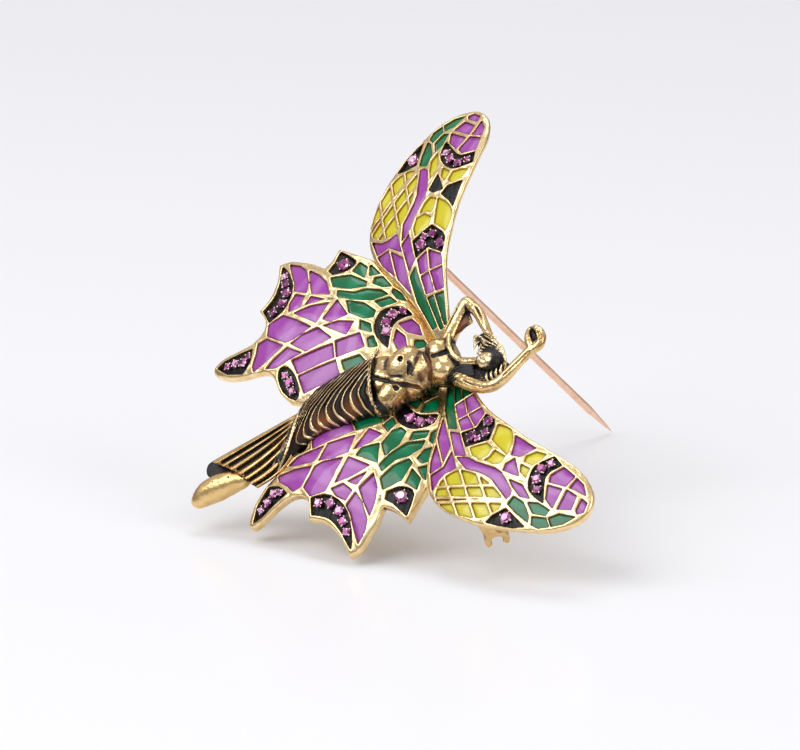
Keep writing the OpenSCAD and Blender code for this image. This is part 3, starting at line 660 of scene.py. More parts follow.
def stone_set(part, word, side, seed):
    """The stones of one wing, set a little unevenly, and their prongs' beads."""
    name = f"{part}_stones_{word}"
    r = np.random.default_rng(seed)
    top, camber_r = CAMBERS[part, side]
    heart = np.array(top) * [side, 1, 1] - [0, 0, camber_r]
    verts, sizes, tones = [], [], []
    beads, bead_faces = [], []
    dot, dot_faces = ball_mesh(BEAD_R)
    for cloud in loose_parts(name):
        centre = (cloud.min(0) + cloud.max(0)) / 2
        up = centre - heart
        up /= np.linalg.norm(up)
        across = np.cross([0, 1, 0], up)
        across /= np.linalg.norm(across)
        axes = np.stack([across, np.cross(up, across), up])
        radius = np.linalg.norm((cloud - centre) @ axes[:2].T, axis=1).max()
        height = (cloud @ up).max()
        seat = centre + up * (height - centre @ up - 0.45 * radius - 0.12 * (radius > 0.6))
        lean = r.normal(0, 0.09, 2)
        axes[2] = up + lean[0] * axes[0] + lean[1] * axes[1]
        axes[2] /= np.linalg.norm(axes[2])
        axes[0] = np.cross(axes[1], axes[2])
        # A random tone for every facet, painting the stone's glints and dark facets.
        own = r.uniform(0.25, 0.75)
        for facet in chaton(radius * 0.98, r.uniform(0, 1)):
            verts += [seat + np.asarray(p) @ axes for p in facet]
            sizes.append(len(facet))
            tones += [np.clip(own + r.normal(0, 0.3), 0, 1)] * len(facet)
        start = r.uniform(0, 1)
        for k in range(PRONGS):
            a = start + k * math.tau / PRONGS
            spot = seat + (np.cos(a) * axes[0] + np.sin(a) * axes[1]) * radius * 1.08 + 0.02 * axes[2]
            bead_faces.append(dot_faces + len(beads) * len(dot))
            beads.append(dot * r.uniform(0.8, 1.3) + spot)
    groups = {n: [] for n in set(sizes)}
    at = 0
    for n in sizes:
        groups[n].append(np.arange(at, at + n))
        at += n
    build(name + "_piece", np.array(verts), [np.array(g) for g in groups.values()], STONE,
          slot="rhinestone", replaces=(name,), smooth=False, tone=np.array(tones))
    build(f"{part}_prongs_{word}_piece", np.concatenate(beads), np.concatenate(bead_faces), PRONG,
          slot="antique_gold")


for side, word in ((-1, "left"), (1, "right")):
    for n, part in enumerate(("fore", "hind")):
        seed = 10 * n + side
        casting(part, word, side, 100 + seed)
        for k, paint in enumerate(dict.fromkeys(p for p, _ in CELLS[part])):
            fill(part, paint, word, side, 200 + 50 * k + seed)
        stone_set(part, word, side, 500 + seed)


# ---------------------------------------------------------------- soft solid modelling
SIGHT = np.array([0.79, 0.32])    # a line of sight's run in plan, per mm of height
OUTSIDE = 1.2                     # the distance that an empty Field holds


def seen(u, v, z):
    """The point at height z that the front view shows at (u, v) of the brooch's plan."""
    return np.array([u + SIGHT[0] * z, v + SIGHT[1] * z, z], float)


def spline(points, steps=5):
    """A smooth open curve through points."""
    p = np.asarray(points, float)
    out = []
    for i in range(len(p) - 1):
        a, b, c, d = p[max(i - 1, 0)], p[i], p[i + 1], p[min(i + 2, len(p) - 1)]
        for t in np.arange(steps) / steps:
            out.append(0.5 * (2 * b + (c - a) * t + (2 * a - 5 * b + 4 * c - d) * t ** 2
                              + (3 * b - a - 3 * c + d) * t ** 3))
    out.append(p[-1])
    return np.array(out)


class Field:
    """A grid of signed distances, in the brooch's axes, that soft shapes are added to and cut from."""

    def __init__(self, lo, hi, step):
        self.lo, self.step = np.array(lo, float), step
        self.shape = np.ceil((np.array(hi) - lo) / step).astype(int) + 1
        self.f = np.full(self.shape, OUTSIDE, np.float32)

    def part(self, lo, hi):
        """The slices of a box of the grid, and its points' places."""
        a = np.clip(((np.asarray(lo) - self.lo) / self.step).astype(int), 0, self.shape)
        b = np.clip(((np.asarray(hi) - self.lo) / self.step).astype(int) + 2, 0, self.shape)
        axes = [(self.lo[k] + self.step * np.arange(a[k], b[k])).astype(np.float32) for k in range(3)]
        return tuple(slice(i, j) for i, j in zip(a, b)), np.meshgrid(*axes, indexing="ij", sparse=True)

    def merge(self, region, d, k, cut):
        if min(self.f[region].shape) > 0:
            join = smooth_max if cut else smooth_min
            self.f[region] = join(self.f[region], -d if cut else d, k)

    def ball(self, c, r, k=0.4, turn=0.0, cut=False):
        reach = max(r) + k + 0.7
        region, (x, y, z) = self.part(np.asarray(c) - reach, np.asarray(c) + reach)
        s, t = math.sin(math.radians(turn)), math.cos(math.radians(turn))
        px, py, pz = (x - c[0]) * t - (y - c[1]) * s, (x - c[0]) * s + (y - c[1]) * t, z - c[2]
        a = np.sqrt((px / r[0]) ** 2 + (py / r[1]) ** 2 + (pz / r[2]) ** 2)
        b = np.sqrt((px / r[0] ** 2) ** 2 + (py / r[1] ** 2) ** 2 + (pz / r[2] ** 2) ** 2)
        self.merge(region, a * (a - 1) / np.maximum(b, 1e-3), k, cut)

    def limb(self, a, b, ra, rb, k=0.4, cut=False):
        a, b = np.asarray(a, float), np.asarray(b, float)
        reach = max(ra, rb) + k + 0.5
        region, (x, y, z) = self.part(np.minimum(a, b) - reach, np.maximum(a, b) + reach)
        d = b - a
        t = np.clip(((x - a[0]) * d[0] + (y - a[1]) * d[1] + (z - a[2]) * d[2]) / (d @ d), 0, 1)
        far = np.sqrt((x - a[0] - t * d[0]) ** 2 + (y - a[1] - t * d[1]) ** 2 + (z - a[2] - t * d[2]) ** 2)
        self.merge(region, far - (ra + (rb - ra) * t), k, cut)

    def strand(self, points, radii, k=0.1, cut=False, steps=5):
        p = spline(points, steps)
        r = np.interp(np.linspace(0, 1, len(p)), np.linspace(0, 1, len(radii)), radii)
        for i in range(len(p) - 1):
            self.limb(p[i], p[i + 1], r[i], r[i + 1], k, cut)

    def face(self, u, v):
        """How high the front surface is where the front view shows (u, v)."""
        z = np.arange(self.lo[2] + (self.shape[2] - 2) * self.step, self.lo[2] + self.step, -self.step / 2)
        d = sample(self.f, seen(u, v, z).T, self.lo, self.step)
        return z[np.argmax(d < 0)] if (d < 0).any() else self.lo[2]

    def engrave(self, points, radii, sink=0.0, k=0.2):
        """A groove cut along the front surface; sink is how far its middle is under it."""
        flat = spline(points, 6)
        line = [seen(u, v, self.face(u, v) - sink) for u, v in flat]
        r = np.interp(np.linspace(0, 1, len(line)), np.linspace(0, 1, len(radii)), radii)
        for i in range(len(line) - 1):
            self.limb(line[i], line[i + 1], r[i], r[i + 1], k, True)

    def mesh(self, reach=3, scale=0.35, roughen=0.0, seed=0):
        """Points, quads and how hollow the surface is at every point."""
        if roughen:
            _, (x, y, z) = self.part(self.lo, self.lo + self.shape * self.step)
            coarse = wobble(x + 0 * z, y + 0 * z, 1.1, seed)
            self.f = self.f + roughen * (coarse + wobble(x + 0.7 * y, z, 0.8, seed + 1))
        verts, quads = nets(self.f, self.lo, self.step)
        soft = sample(blur(self.f, reach), verts, self.lo, self.step)
        return verts, quads, np.clip(0.5 - soft / scale, 0, 1)


# ---------------------------------------------------------------- the figure's body and arms
BAND_U = (-3.4, -2.4, -0.8, 1.4, 3.6, 5.7)     # where the skirt's top band runs in the front view
BAND_V = (22.3, 21.3, 20.6, 20.15, 20.1, 20.9)
# Torso: belly, waist, bust, and the grooves in them
body = Field((-6.6, 19.4, -4.2), (10.8, 45.0, 4.2), 0.1)
body.ball((1.9, 22.3, -0.3), (4.0, 3.0, 2.9), 0.5)
body.ball((1.9, 25.0, -0.6), (3.4, 3.0, 2.6), 0.6)
body.ball((2.0, 27.3, -0.8), (2.7, 2.2, 2.3), 0.6)
body.ball((2.3, 29.6, -0.9), (3.0, 2.3, 2.3), 0.6)
body.ball((2.3, 31.2, -1.1), (3.2, 1.0, 1.6), 0.5)
body.ball((1.3, 25.3, 0.85), (2.0, 2.9, 2.05), 0.25, turn=-38)
body.ball((4.4, 22.9, 0.55), (1.7, 3.1, 2.05), 0.15, turn=-34)
body.ball((0.8, 29.9, 0.3), (1.45, 1.4, 1.35), 0.8)
body.ball((3.9, 29.9, 0.3), (1.5, 1.4, 1.35), 0.8)
body.engrave([(0.2, 21.1), (1.5, 22.6), (2.9, 24.3), (4.6, 26.3)], [0.14, 0.2, 0.2, 0.12], 0.0, 0.35)
body.engrave([(-1.0, 27.9), (0.6, 28.2), (2.2, 28.4), (4.2, 28.0)], [0.1, 0.18, 0.18, 0.1], 0.0, 0.3)
body.engrave([(1.3, 31.2), (1.25, 30.2), (1.0, 29.0)], [0.08, 0.13, 0.1], 0.0, 0.35)
body.engrave([(0.2, 25.8), (1.0, 25.9), (1.9, 25.4)], [0.06, 0.12, 0.06], -0.03, 0.25)
body.engrave([(-0.8, 24.95), (-0.6, 24.9)], [0.3, 0.3], 0.1, 0.08)
body.engrave([(2.9, 23.4), (3.15, 23.5)], [0.3, 0.34], 0.1, 0.08)
body.limb((3.0, 31.2, -0.6), (4.6, 34.2, -0.2), 0.75, 0.55, 0.4)
body.strand([seen(-0.9, 31.8, 0.3), seen(0.6, 31.4, 0.6), seen(2.2, 31.6, 0.6), seen(3.3, 32.2, 0.3)],
            [0.22, 0.28, 0.28, 0.3], 0.15)
# Left arm: raised behind the head, with the web of metal under it
body.strand([(-0.6, 31.0, -0.9), (-2.9, 32.9, -0.8), (-4.7, 34.8, -0.6)], [1.0, 0.85, 0.75], 0.3)
body.strand([(-4.7, 34.9, -0.6), (-2.6, 35.9, -0.5), (-0.4, 36.3, -0.6), (1.6, 36.5, -1.1)],
            [0.72, 0.68, 0.6, 0.4], 0.15)
body.strand([seen(-3.2, 36.0, 0.1), seen(-1.6, 36.3, 0.1), seen(0.2, 36.5, 0.1)],
            [0.12, 0.17, 0.14], 0.1, cut=True)
body.strand([seen(-4.3, 34.0, 0.0), seen(-2.9, 32.6, 0.0), seen(-1.6, 31.4, 0.0)],
            [0.08, 0.14, 0.1], 0.1, cut=True)
for i in range(8):
    t = i / 7
    inner = seen(-1.25 + 1.0 * t ** 2, 34.95 - 2.6 * t, -1.0)
    body.limb(seen(-3.4 + 2.0 * t, 34.7 - 2.4 * t, -1.0), inner, 0.3, 0.3, 0.3)
# Right arm: bent up over the head to a curled hand
body.strand([(5.3, 31.3, -0.7), (7.2, 32.7, -0.4), (8.7, 34.4, -0.2)], [1.0, 0.82, 0.7], 0.3)
body.strand([(8.7, 34.3, -0.2), (9.1, 35.7, -0.1), (8.7, 37.3, -0.1), (7.7, 39.4, 0.0), (6.7, 41.4, 0.0)],
            [0.7, 0.7, 0.66, 0.6, 0.54], 0.2)
body.strand([seen(8.4, 37.2, 0.55), seen(7.6, 39.2, 0.6), seen(6.7, 41.2, 0.55)],
            [0.1, 0.17, 0.13], 0.08, cut=True)
body.strand([seen(9.2, 35.2, 0.55), seen(9.1, 37.0, 0.5), seen(8.2, 39.2, 0.5), seen(7.2, 41.6, 0.4)],
            [0.05, 0.1, 0.12, 0.14], 0.08, cut=True)
body.strand([seen(6.4, 32.0, 0.4), seen(7.6, 33.0, 0.5), seen(8.7, 34.2, 0.5)],
            [0.06, 0.12, 0.08], 0.08, cut=True)
# The curled hand: its back, the fingers, and the dark hollow between them
body.strand([seen(6.8, 41.3, 0), seen(6.6, 42.5, 0), seen(5.8, 43.1, 0), seen(4.8, 43.1, 0),
             seen(3.9, 42.7, 0.1)],
            [0.54, 0.56, 0.55, 0.52, 0.38], 0.15)
body.strand([seen(6.5, 41.6, 0.1), seen(5.6, 41.4, 0.2), seen(4.7, 41.5, 0.2), seen(3.9, 41.9, 0.2)],
            [0.5, 0.46, 0.44, 0.34], 0.12)
body.ball(seen(4.6, 42.1, -0.2), (1.2, 0.75, 0.4), 0.1)
body.ball(seen(4.5, 42.1, 0.55), (0.66, 0.36, 0.5), 0.08, cut=True)
body.strand([seen(6.1, 43.0, 0.5), seen(5.2, 42.8, 0.5), seen(4.4, 42.9, 0.4)],
            [0.06, 0.1, 0.06], 0.06, cut=True)
body.strand([seen(5.9, 42.4, 0.5), seen(5.3, 42.4, 0.5)], [0.08, 0.1], 0.06, cut=True)
verts, quads, hollow = body.mesh(roughen=0.012, seed=3)
vu, vv = verts[:, 0] - SIGHT[0] * verts[:, 2], verts[:, 1] - SIGHT[1] * verts[:, 2]



def spot(u, v, ru, rv):
    """1 inside a soft-edged oval of the front view, 0 outside."""
    return np.exp(-(((vu - u) / ru) ** 2 + ((vv - v) / rv) ** 2) ** 2)


# The patina in the web, in the hand and along the skirt's band; painted shade down the flank and in patches
# under and between the bust and on the belly
speckle = 0.75 + 0.5 * wobble(vu, vv, 0.45, 21)
hollow = hollow + 0.4 * ((vu > -3.6) & (vu < -0.4) & (vv > 32.2) & (vv < 34.9) & (verts[:, 2] < -0.35))
# Painted shade down the figure's right flank, speckled.
flank = np.clip((vu - 4.2) / 1.6, 0, 1) * (vv < 31) * (vv > 21)
hollow = hollow + 0.2 * flank * speckle + 0.9 * spot(4.5, 42.1, 0.8, 0.36)
band = np.interp(vu, BAND_U, BAND_V)
hollow = hollow + 0.8 * speckle * np.exp(-((vv - band - 0.35) / 0.45) ** 4)
# Painted shade, speckled, in patches under and between the bust and on the belly.
for strength, *patch in ((0.25, 1.2, 25.8, 1.3, 0.5), (0.3, 0.2, 28.6, 1.2, 0.5), (0.22, 3.2, 28.2, 1.3, 0.5),
                         (0.3, 1.2, 30.6, 0.5, 1.2), (0.15, 3.2, 26.9, 1.2, 0.5)):
    hollow = hollow + strength * speckle * spot(*patch)
# Painted brown shade: in these patches on the torso and by the left arm, the dark parts turn amber.
warm = 0
for patch in ((2.4, 27.6, 2.2, 1.2), (4.6, 24.4, 0.9, 2.6), (0.4, 24.0, 0.7, 1.6), (-1.0, 30.6, 0.6, 1.2),
              (2.9, 21.6, 1.6, 0.6), (-1.4, 33.4, 1.2, 1.4)):
    warm = warm + 0.5 * spot(*patch)
build("figure_piece", verts, quads, DARK_GOLD, slot="antique_gold_dark", replaces=("figure",),
      hollow=hollow, warm=np.clip(warm, 0, 0.8))

# ---------------------------------------------------------------- head, face and hair
head = Field((-0.6, 29.4, -2.4), (10.2, 39.4, 2.3), 0.065)
HEAD = np.array([5.75, 35.85, 0.05])
LEAN = 28


def on_head(x, y, z):
    """A point given in the head's own axes, which lean to the figure's side."""
    s, c = math.sin(math.radians(LEAN)), math.cos(math.radians(LEAN))
    return HEAD + [x * c + y * s, -x * s + y * c, z]


# The mass of the hair, the skull and jaw, and a plain face
for c, r in (((1.7, 35.7, -1.0), (1.2, 1.0, 0.7)), ((4.5, 36.15, -1.1), (2.1, 1.65, 1.2)),
             ((7.0, 35.8, -1.1), (1.9, 2.3, 1.1)), ((6.2, 33.3, -1.1), (1.9, 1.3, 0.9))):
    head.ball(c, r, 0.4)
head.ball(on_head(0, 0.3, 0), (1.28, 1.5, 1.3), 0.2, turn=LEAN)
head.ball(on_head(0, -0.65, 0.2), (0.95, 1.05, 0.95), 0.45, turn=LEAN)
head.ball(on_head(0, -1.4, 0.72), (0.34, 0.28, 0.28), 0.25, turn=LEAN)
for s in (-1, 1):
    head.ball(on_head(0.55 * s, -0.4, 0.72), (0.42, 0.42, 0.35), 0.3, turn=LEAN)
    head.ball(on_head(0.44 * s, 0.04, 1.3), (0.24, 0.14, 0.18), 0.12, turn=LEAN, cut=True)
    head.ball(on_head(0.44 * s, 0.02, 1.1), (0.17, 0.09, 0.09), 0.04, turn=LEAN)
    head.limb(on_head(0.16 * s, 0.24, 1.2), on_head(0.66 * s, 0.27, 1.04), 0.09, 0.07, 0.12)
head.limb(on_head(0, 0.2, 1.22), on_head(0, -0.34, 1.42), 0.1, 0.16, 0.1)
head.limb(on_head(-0.2, -0.76, 1.14), on_head(0.2, -0.76, 1.14), 0.09, 0.09, 0.06)
head.limb(on_head(-0.16, -0.94, 1.12), on_head(0.16, -0.94, 1.12), 0.09, 0.09, 0.06)
head.limb(on_head(-0.24, -0.85, 1.26), on_head(0.24, -0.85, 1.26), 0.04, 0.04, 0.03, cut=True)
# Locks: over the head to its left end, hanging there, round its right side, down the shoulder, and to the arm
for i in range(7):
    head.strand([seen(0.9 + 0.3 * i, 36.1 - 0.3 * i + 0.04 * i * i, -0.5),
                 seen(2.2 + 0.26 * i, 37.15 - 0.4 * i, -0.15),
                 seen(4.5, 38.0 - 0.22 * i, -0.05), seen(6.9 - 0.1 * i, 38.0 - 0.24 * i, -0.2)],
                [0.08, 0.13, 0.13, 0.1], 0.05)
for i in range(5):
    head.strand([seen(2.9 - 0.3 * i, 36.2 - 0.1 * i, -0.2), seen(2.2 - 0.22 * i, 35.6 - 0.05 * i, -0.3),
                 seen(2.3 - 0.3 * i, 34.9, -0.4), seen(2.9 - 0.3 * i, 34.4 + 0.08 * i, -0.5)],
                [0.08, 0.12, 0.12, 0.07], 0.05)
for i in range(6):
    head.strand([seen(6.7, 38.0 - 0.26 * i, -0.1), seen(8.4 - 0.36 * i, 37.1 - 0.22 * i, 0.0),
                 seen(8.5 - 0.38 * i, 35.3, 0.0), seen(7.6 - 0.28 * i, 33.8 + 0.08 * i, -0.25),
                 seen(6.0 - 0.1 * i, 33.1 + 0.12 * i, -0.5)],
                [0.1, 0.16, 0.16, 0.16, 0.1], 0.05)
for i in range(4):
    head.strand([seen(5.2 + 0.45 * i, 33.6, -0.2), seen(4.5 + 0.45 * i, 32.3, 0.1),
                 seen(4.5 + 0.45 * i, 30.6, 0.3)],
                [0.3, 0.26, 0.12], 0.06)
for i in range(4):
    head.strand([seen(6.9, 37.3 - 0.65 * i, 0.25), seen(7.6, 37.0 - 0.65 * i, 0.35),
                 seen(8.2, 36.9 - 0.6 * i, 0.2)],
                [0.1, 0.2, 0.12], 0.05)
verts, quads, hollow = head.mesh(scale=0.16, roughen=0.01, seed=5)
vv = verts[:, 1] - SIGHT[1] * verts[:, 2]
face = np.exp(-(np.linalg.norm(verts - on_head(0, -0.2, 0.9), axis=1) / 1.15) ** 4)
hair = np.clip(hollow + 0.12 + 0.5 * np.clip(34.2 - vv, 0, 1), 0, 1)
hollow = hair * (1 - face) + 0.45 * hollow ** 2 * face
build("head_piece", verts, quads, HAIR_GOLD, slot="antique_gold_dark", hollow=hollow)

# ---------------------------------------------------------------- the draped skirt
PITCH = 1.15                      # between two folds
# The skirt's sections: height along the body, and their middles and half sizes
SKIRT_Y = (5.6, 7.0, 9.3, 11.2, 14.0, 17.5, 21.4, 22.6)
skirt = Field((-4.2, 4.8, -2.8), (8.6, 23.2, 4.6), 0.08)
_, (sx, sy, sz) = skirt.part(skirt.lo, skirt.lo + skirt.shape * skirt.step)
mid_x = np.interp(sy, SKIRT_Y, (7.0, 6.3, 4.5, 3.2, 2.1, 1.9, 1.9, 1.9))
half_x = np.interp(sy, SKIRT_Y, (0.5, 1.2, 2.1, 2.7, 3.4, 3.9, 4.3, 4.3))
mid_z = np.interp(sy, SKIRT_Y, (0.9, 0.9, 0.9, 0.9, 0.9, 0.7, 0.2, 0.1))
half_z = np.interp(sy, SKIRT_Y, (0.5, 1.0, 1.5, 1.9, 2.2, 2.6, 3.0, 3.0))
ring = np.sqrt(((sx - mid_x) / half_x) ** 2 + ((sz - mid_z) / half_z) ** 2)
girth = np.sqrt(((sx - mid_x) / half_x ** 2) ** 2 + ((sz - mid_z) / half_z ** 2) ** 2)
shell = ring * (ring - 1) / np.maximum(girth, 1e-3)
down, across = sy - SIGHT[1] * sz, sx - SIGHT[0] * sz
edge_l = np.interp(down, (4, 8, 10, 12, 15, 20, 22.5), (5.0, 3.2, 0.6, -1.4, -2.3, -3.0, -3.4))
edge_r = np.interp(down, (4, 8, 10, 12, 16, 20, 22.5), (7.8, 6.4, 5.6, 5.1, 5.4, 6.0, 6.2))
u = np.clip((across - edge_l) / (edge_r - edge_l), 0, 1)
sag = np.where(u < 0.58, 7.0 * (1 - u / 0.58) ** 2.3, 1.5 * (np.maximum(u - 0.58, 0) / 0.42) ** 2)
sway = 0.12 * np.sin(across * 0.9 + down * 0.4) + 0.04 * np.sin(across * 2.3 - down * 1.4)
band = np.interp(across, BAND_U, BAND_V)
phase = (down - sag + sway - 0.2) / PITCH
fold = np.abs(phase - np.round(phase)) * PITCH
between = np.abs(phase - 0.42 - np.round(phase - 0.42)) * PITCH
front = np.clip((sz - mid_z + 0.6 * half_z) / (0.5 * half_z), 0, 1)
strong = 0.75 + 0.25 * np.sin(np.round(phase) * 2.4)
worn = 0.5 * np.exp(-((down - 12.6) / 1.3) ** 2) * np.clip(u * 2 - 0.6, 0, 1)
fade = 1 - 0.75 * np.clip((u - 0.62) / 0.38, 0, 1) - worn
fade = fade * np.clip(u / 0.08, 0.15, 1) * np.clip((down - 8.6) / 1.2 + 1 - u, 0, 1)
height = strong * np.exp(-(fold / 0.22) ** 2) + 0.25 * (1 - strong * 0.6) * np.exp(-(between / 0.13) ** 2)
height = fade * height
shell = shell + front * (0.3 - 0.55 * height)
skirt.f = np.minimum(OUTSIDE, np.maximum(shell, np.maximum(down - band - 0.1, 5.4 - sy))).astype(np.float32)
girdle = spline([seen(-3.3, 22.3, 0.9), seen(-2.4, 21.3, 2.0), seen(-0.8, 20.6, 2.9), seen(1.4, 20.15, 3.0),
                 seen(3.6, 20.1, 2.3), seen(5.7, 20.9, 0.7)], 16)
for p in girdle[::5]:
    skirt.ball(p, (0.42, 0.26, 0.3), 0.12)
HEM_U = (-1.4, 0.6, 2.8, 5.2, 6.9)
HEM_V = (12.2, 10.2, 8.9, 7.5, 6.2)
hem_line = [seen(u, v, z) for u, v, z in zip(HEM_U, HEM_V, (1.3, 2.5, 2.7, 2.5, 1.8))]
skirt.strand(hem_line, [0.12, 0.17, 0.18, 0.15], 0.06)
verts, quads, hollow = skirt.mesh(scale=0.2, reach=4, roughen=0.008, seed=8)
vu, vv = verts[:, 0] - SIGHT[0] * verts[:, 2], verts[:, 1] - SIGHT[1] * verts[:, 2]
warm = 0.7 * np.exp(-((vu - 3.0) / 1.3) ** 2) * (
    np.exp(-((vv - 13.2) / 1.2) ** 2) + 0.8 * np.exp(-((vv - 17.3) / 1.0) ** 2)
    + 0.4 * np.exp(-((vv - 9.8) / 1.0) ** 2))
band = np.interp(vu, BAND_U, BAND_V)
hollow = hollow + (0.35 + 0.3 * wobble(vu, vv, 0.4, 23)) * np.exp(-((vv - band - 0.1) / 0.45) ** 2)
hem = np.interp(vu, HEM_U, HEM_V)
hollow = hollow + 0.5 * np.clip((10.2 - vv) / 1.2, 0, 1) * np.clip(vv - hem - 0.15, 0, 0.3) / 0.3
# Painted shade down the skirt's right side.
hollow = hollow + 0.3 * np.clip((vu - 4.3) / 0.8, 0, 1)
build("skirt_piece", verts, quads, DRAPE_GOLD, slot="antique_gold_dark", replaces=("skirt",),
      hollow=hollow, warm=warm)


# ---------------------------------------------------------------- the fluted fan and the lobe under it
FLUTES = 6


def sheet(front, back):
    """A closed shell between two grids of points."""
    n, m = front.shape[:2]
    verts = np.concatenate([front.reshape(-1, 3), back.reshape(-1, 3)])
    at = np.arange(n * m).reshape(n, m)
    a, b, c, d = at[:-1, :-1], at[1:, :-1], at[1:, 1:], at[:-1, 1:]
    quads = [np.stack([a, d, c, b], -1).reshape(-1, 4), np.stack([a, b, c, d], -1).reshape(-1, 4) + n * m]
    rim = np.concatenate([at[:, 0], at[-1, 1:], at[-2::-1, -1], at[0, -2:0:-1]])
    nxt = np.roll(rim, -1)
    quads.append(np.stack([rim, nxt, nxt + n * m, rim + n * m], -1))
    return verts, np.concatenate(quads)


def fan_sheet(root, edge, lift, flute, thick, bulge=0.0, across=220, along=90):
    """A curved sheet from a root line to a free edge, both seen from the front: points, quads, hollow."""
    v = np.linspace(0, 1, across)[:, None, None]
    t = np.linspace(0, 1, along)[None, :, None]
    top, low = spline(root, 30), spline(edge, 30)
    a = top[np.linspace(0, len(top) - 1, across).astype(int)][:, None, :]
    b = low[np.linspace(0, len(low) - 1, across).astype(int)][:, None, :]
    c = (a + b) / 2 + bulge * v ** 1.5 * np.array([0.9, 1.1])
    plan = (1 - t) ** 2 * a + 2 * t * (1 - t) * c + t ** 2 * b
    fold = np.where(v[..., 0] < 0.1, 1, np.cos(math.tau * FLUTES * (v[..., 0] - 0.1) / 0.9))
    fold = fold * np.clip(t[..., 0] * 5 - 0.2, 0, 1)
    z = lift * np.sin(math.pi * (0.1 + 0.8 * v[..., 0])) + 0.35 + flute * np.sign(fold) * np.abs(fold) ** 0.7
    z = z + 0.5 * (1 - t[..., 0]) ** 2
    front = np.stack([plan[..., 0] + SIGHT[0] * z, plan[..., 1] + SIGHT[1] * z, z + 0 * plan[..., 0]], -1)
    back = front - np.array([0, 0, thick])
    return (*sheet(front, back), np.clip(0.36 - 0.5 * fold, 0, 1) * (t[..., 0] < 0.975))


FAN_ROOT = ((0.1, 10.6), (1.1, 9.8), (2.1, 9.5), (3.3, 9.3))
FAN_EDGE = ((1.25, -2.1), (2.3, -1.1), (3.6, 0.1), (5.2, 1.3), (6.6, 2.0), (7.8, 2.8))
LINING_EDGE = ((1.2, -1.7), (1.5, -2.7), (2.4, -3.15), (3.3, -2.9), (3.9, -1.2), (5.3, 0.9), (7.6, 2.6))
verts, quads, low = fan_sheet(FAN_ROOT, FAN_EDGE, 1.0, 0.26, 0.4, bulge=2.2)
build("tail_fan_piece", verts, quads, DARK_GOLD, slot="antique_gold_dark", replaces=("tail_fan",),
      hollow=np.concatenate([low.ravel(), np.full(low.size, 0.6)]))
# The lining under the fan's edge: its front is wholly dark, painted shade under the flared edge.
verts, quads, low = fan_sheet(FAN_ROOT, LINING_EDGE, -0.5, 0.0, 0.35, bulge=1.6)
build("tail_lining_piece", verts, quads, DARK_GOLD, slot="antique_gold_dark",
      hollow=np.concatenate([np.full(low.size, 1.0), np.full(low.size, 0.4)]))

lobe = Field((2.6, -6.9, -2.2), (8.2, 3.0, 2.2), 0.08)
lobe.strand([(6.0, 1.4, -0.1), (5.5, -0.4, -0.1), (5.4, -2.2, -0.1), (5.5, -3.8, -0.1), (6.0, -5.1, -0.1)],
            [0.85, 1.35, 1.55, 1.35, 0.8], 0.3)
lobe.ball((5.4, -1.8, -2.6), (2.6, 5.2, 1.4), 0.3, cut=True)
# Casting pits
for a, b, r in ((4.6, 0.9, 0.1), (4.7, -0.4, 0.1), (4.3, -1.2, 0.09), (4.9, -1.8, 0.07), (4.5, -2.5, 0.08),
                (6.6, 0.6, 0.1), (6.7, -2.4, 0.12), (6.6, -2.9, 0.1), (6.5, -3.2, 0.09), (6.6, -4.7, 0.17),
                (6.3, -4.8, 0.1)):
    lobe.ball(seen(a, b, 1.1), (r, 1.4 * r, 0.7), 0.04, cut=True)
verts, quads, hollow = lobe.mesh(scale=0.3, roughen=0.01, seed=11)
build("tail_lobe_piece", verts, quads, PLAIN_GOLD, slot="antique_gold", replaces=("tail_lobe",),
      hollow=hollow)


# ---------------------------------------------------------------- fittings on the back, and the pin
HINGE = np.array([-19.5, 29.5, -5.4])
HINGE_TILT = math.radians(5)
OPEN = math.radians(86)
STEM_R, STEM_LENGTH, POINT_LENGTH = 0.48, 47.3, 6.0
SHOULDER_R = 0.62                 # where the stem leaves its eye
EYE_R, EYE_W, EYE_HOLE = 1.0, 1.4, 0.45


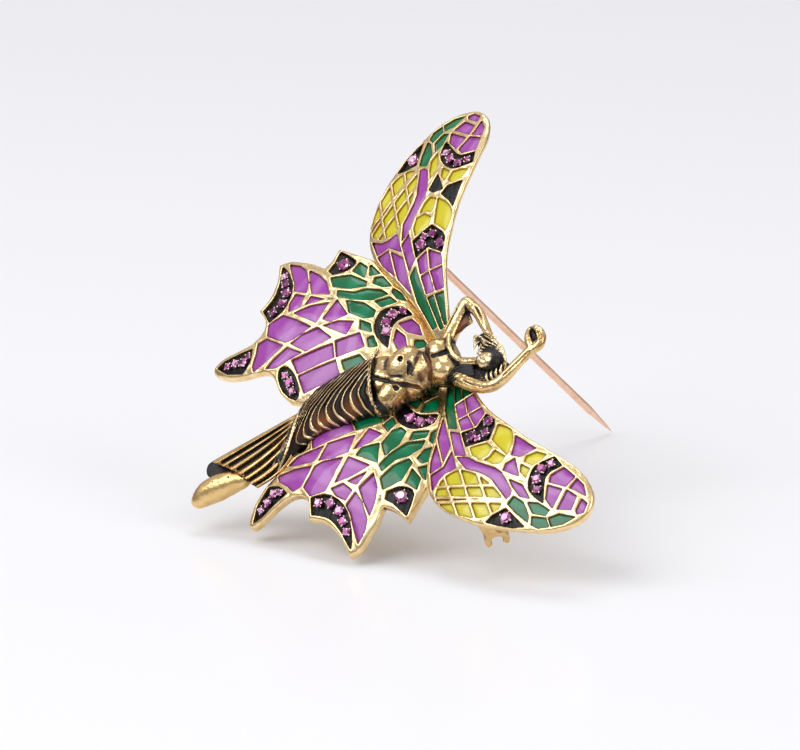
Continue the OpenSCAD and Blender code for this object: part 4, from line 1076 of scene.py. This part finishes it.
def softened(name, mat, width):
    """A CAD fitting with its edges rounded over."""
    bm = bmesh.new()
    bm.from_mesh(NODES[name].data)
    bmesh.ops.remove_doubles(bm, verts=bm.verts, dist=WELD)
    bmesh.ops.dissolve_limit(bm, angle_limit=math.radians(2), verts=bm.verts, edges=bm.edges)
    sharp = [e for e in bm.edges if len(e.link_faces) == 2 and e.calc_face_angle(0) > math.radians(28)]
    bmesh.ops.bevel(bm, geom=sharp, offset=width / 1000, segments=3, profile=0.5, affect="EDGES",
                    clamp_overlap=True)
    bmesh.ops.triangulate(bm, faces=bm.faces)
    me = bpy.data.meshes.new(name)
    bm.to_mesh(me)
    bm.free()
    me.polygons.foreach_set("use_smooth", np.ones(len(me.polygons), bool))
    me.set_sharp_from_angle(angle=math.radians(40))
    me.materials.append(mat)
    o = bpy.data.objects.new(name + "_piece", me)
    bpy.context.scene.collection.objects.link(o)
    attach(o, "brooch")
    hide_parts(name)


for name, width in (("back_bridge", 0.15), ("pin_joint", 0.08), ("joint_rivet", 0.06), ("catch", 0.08)):
    softened(name, PLAIN_GOLD, width)

pin = Field((-2.0, -1.2, -1.6), (STEM_LENGTH + 0.4, 1.2, 1.6), 0.08)
_, (px, py, pz) = pin.part(pin.lo, pin.lo + pin.shape * pin.step)
stem_r = np.interp(px, (0, 1.4, 1.6, STEM_LENGTH - POINT_LENGTH, STEM_LENGTH - 1.6, STEM_LENGTH - 0.1),
                   (SHOULDER_R, SHOULDER_R, STEM_R, STEM_R, 0.2, 0.03))
stem = np.maximum(np.sqrt(py ** 2 + pz ** 2) - stem_r - 0.012 * np.sin(px * 0.9) * np.cos(px * 0.37),
                  np.maximum(-px, px - STEM_LENGTH))
around = np.sqrt(px ** 2 + pz ** 2)
eye = smooth_max(around - EYE_R, np.abs(py) - EYE_W / 2, 0.15)
solid = smooth_min(np.minimum(stem, OUTSIDE), eye, 0.35)
pin.f = smooth_max(solid, EYE_HOLE - around, 0.08).astype(np.float32)
verts, quads, hollow = pin.mesh()
tilt = np.array(Euler((HINGE_TILT, 0, 0)).to_matrix())
swing = np.array(Euler((0, OPEN, 0)).to_matrix())
build("pin_stem_piece", verts @ swing.T @ tilt.T + HINGE, quads, ROSE, "pin", slot="rose_gold",
      replaces=("pin_stem",), hollow=hollow * 0.5)

# ---------------------------------------------------------------- floor
FLOOR = 3                         # metres each way
floor_mat, _, surface = material("floor")
surface.inputs["Base Color"].default_value = (0.86, 0.86, 0.875, 1)
surface.inputs["Roughness"].default_value = 0.22
surface.inputs["Specular IOR Level"].default_value = 0.12
me = bpy.data.meshes.new("floor")
corners = [(x * FLOOR, y * FLOOR, 0) for x, y in ((-1, -1), (1, -1), (1, 1), (-1, 1))]
me.from_pydata(corners, [], [(0, 1, 2, 3)])
me.materials.append(floor_mat)
floor = bpy.data.objects.new("floor", me)
bpy.context.scene.collection.objects.link(floor)
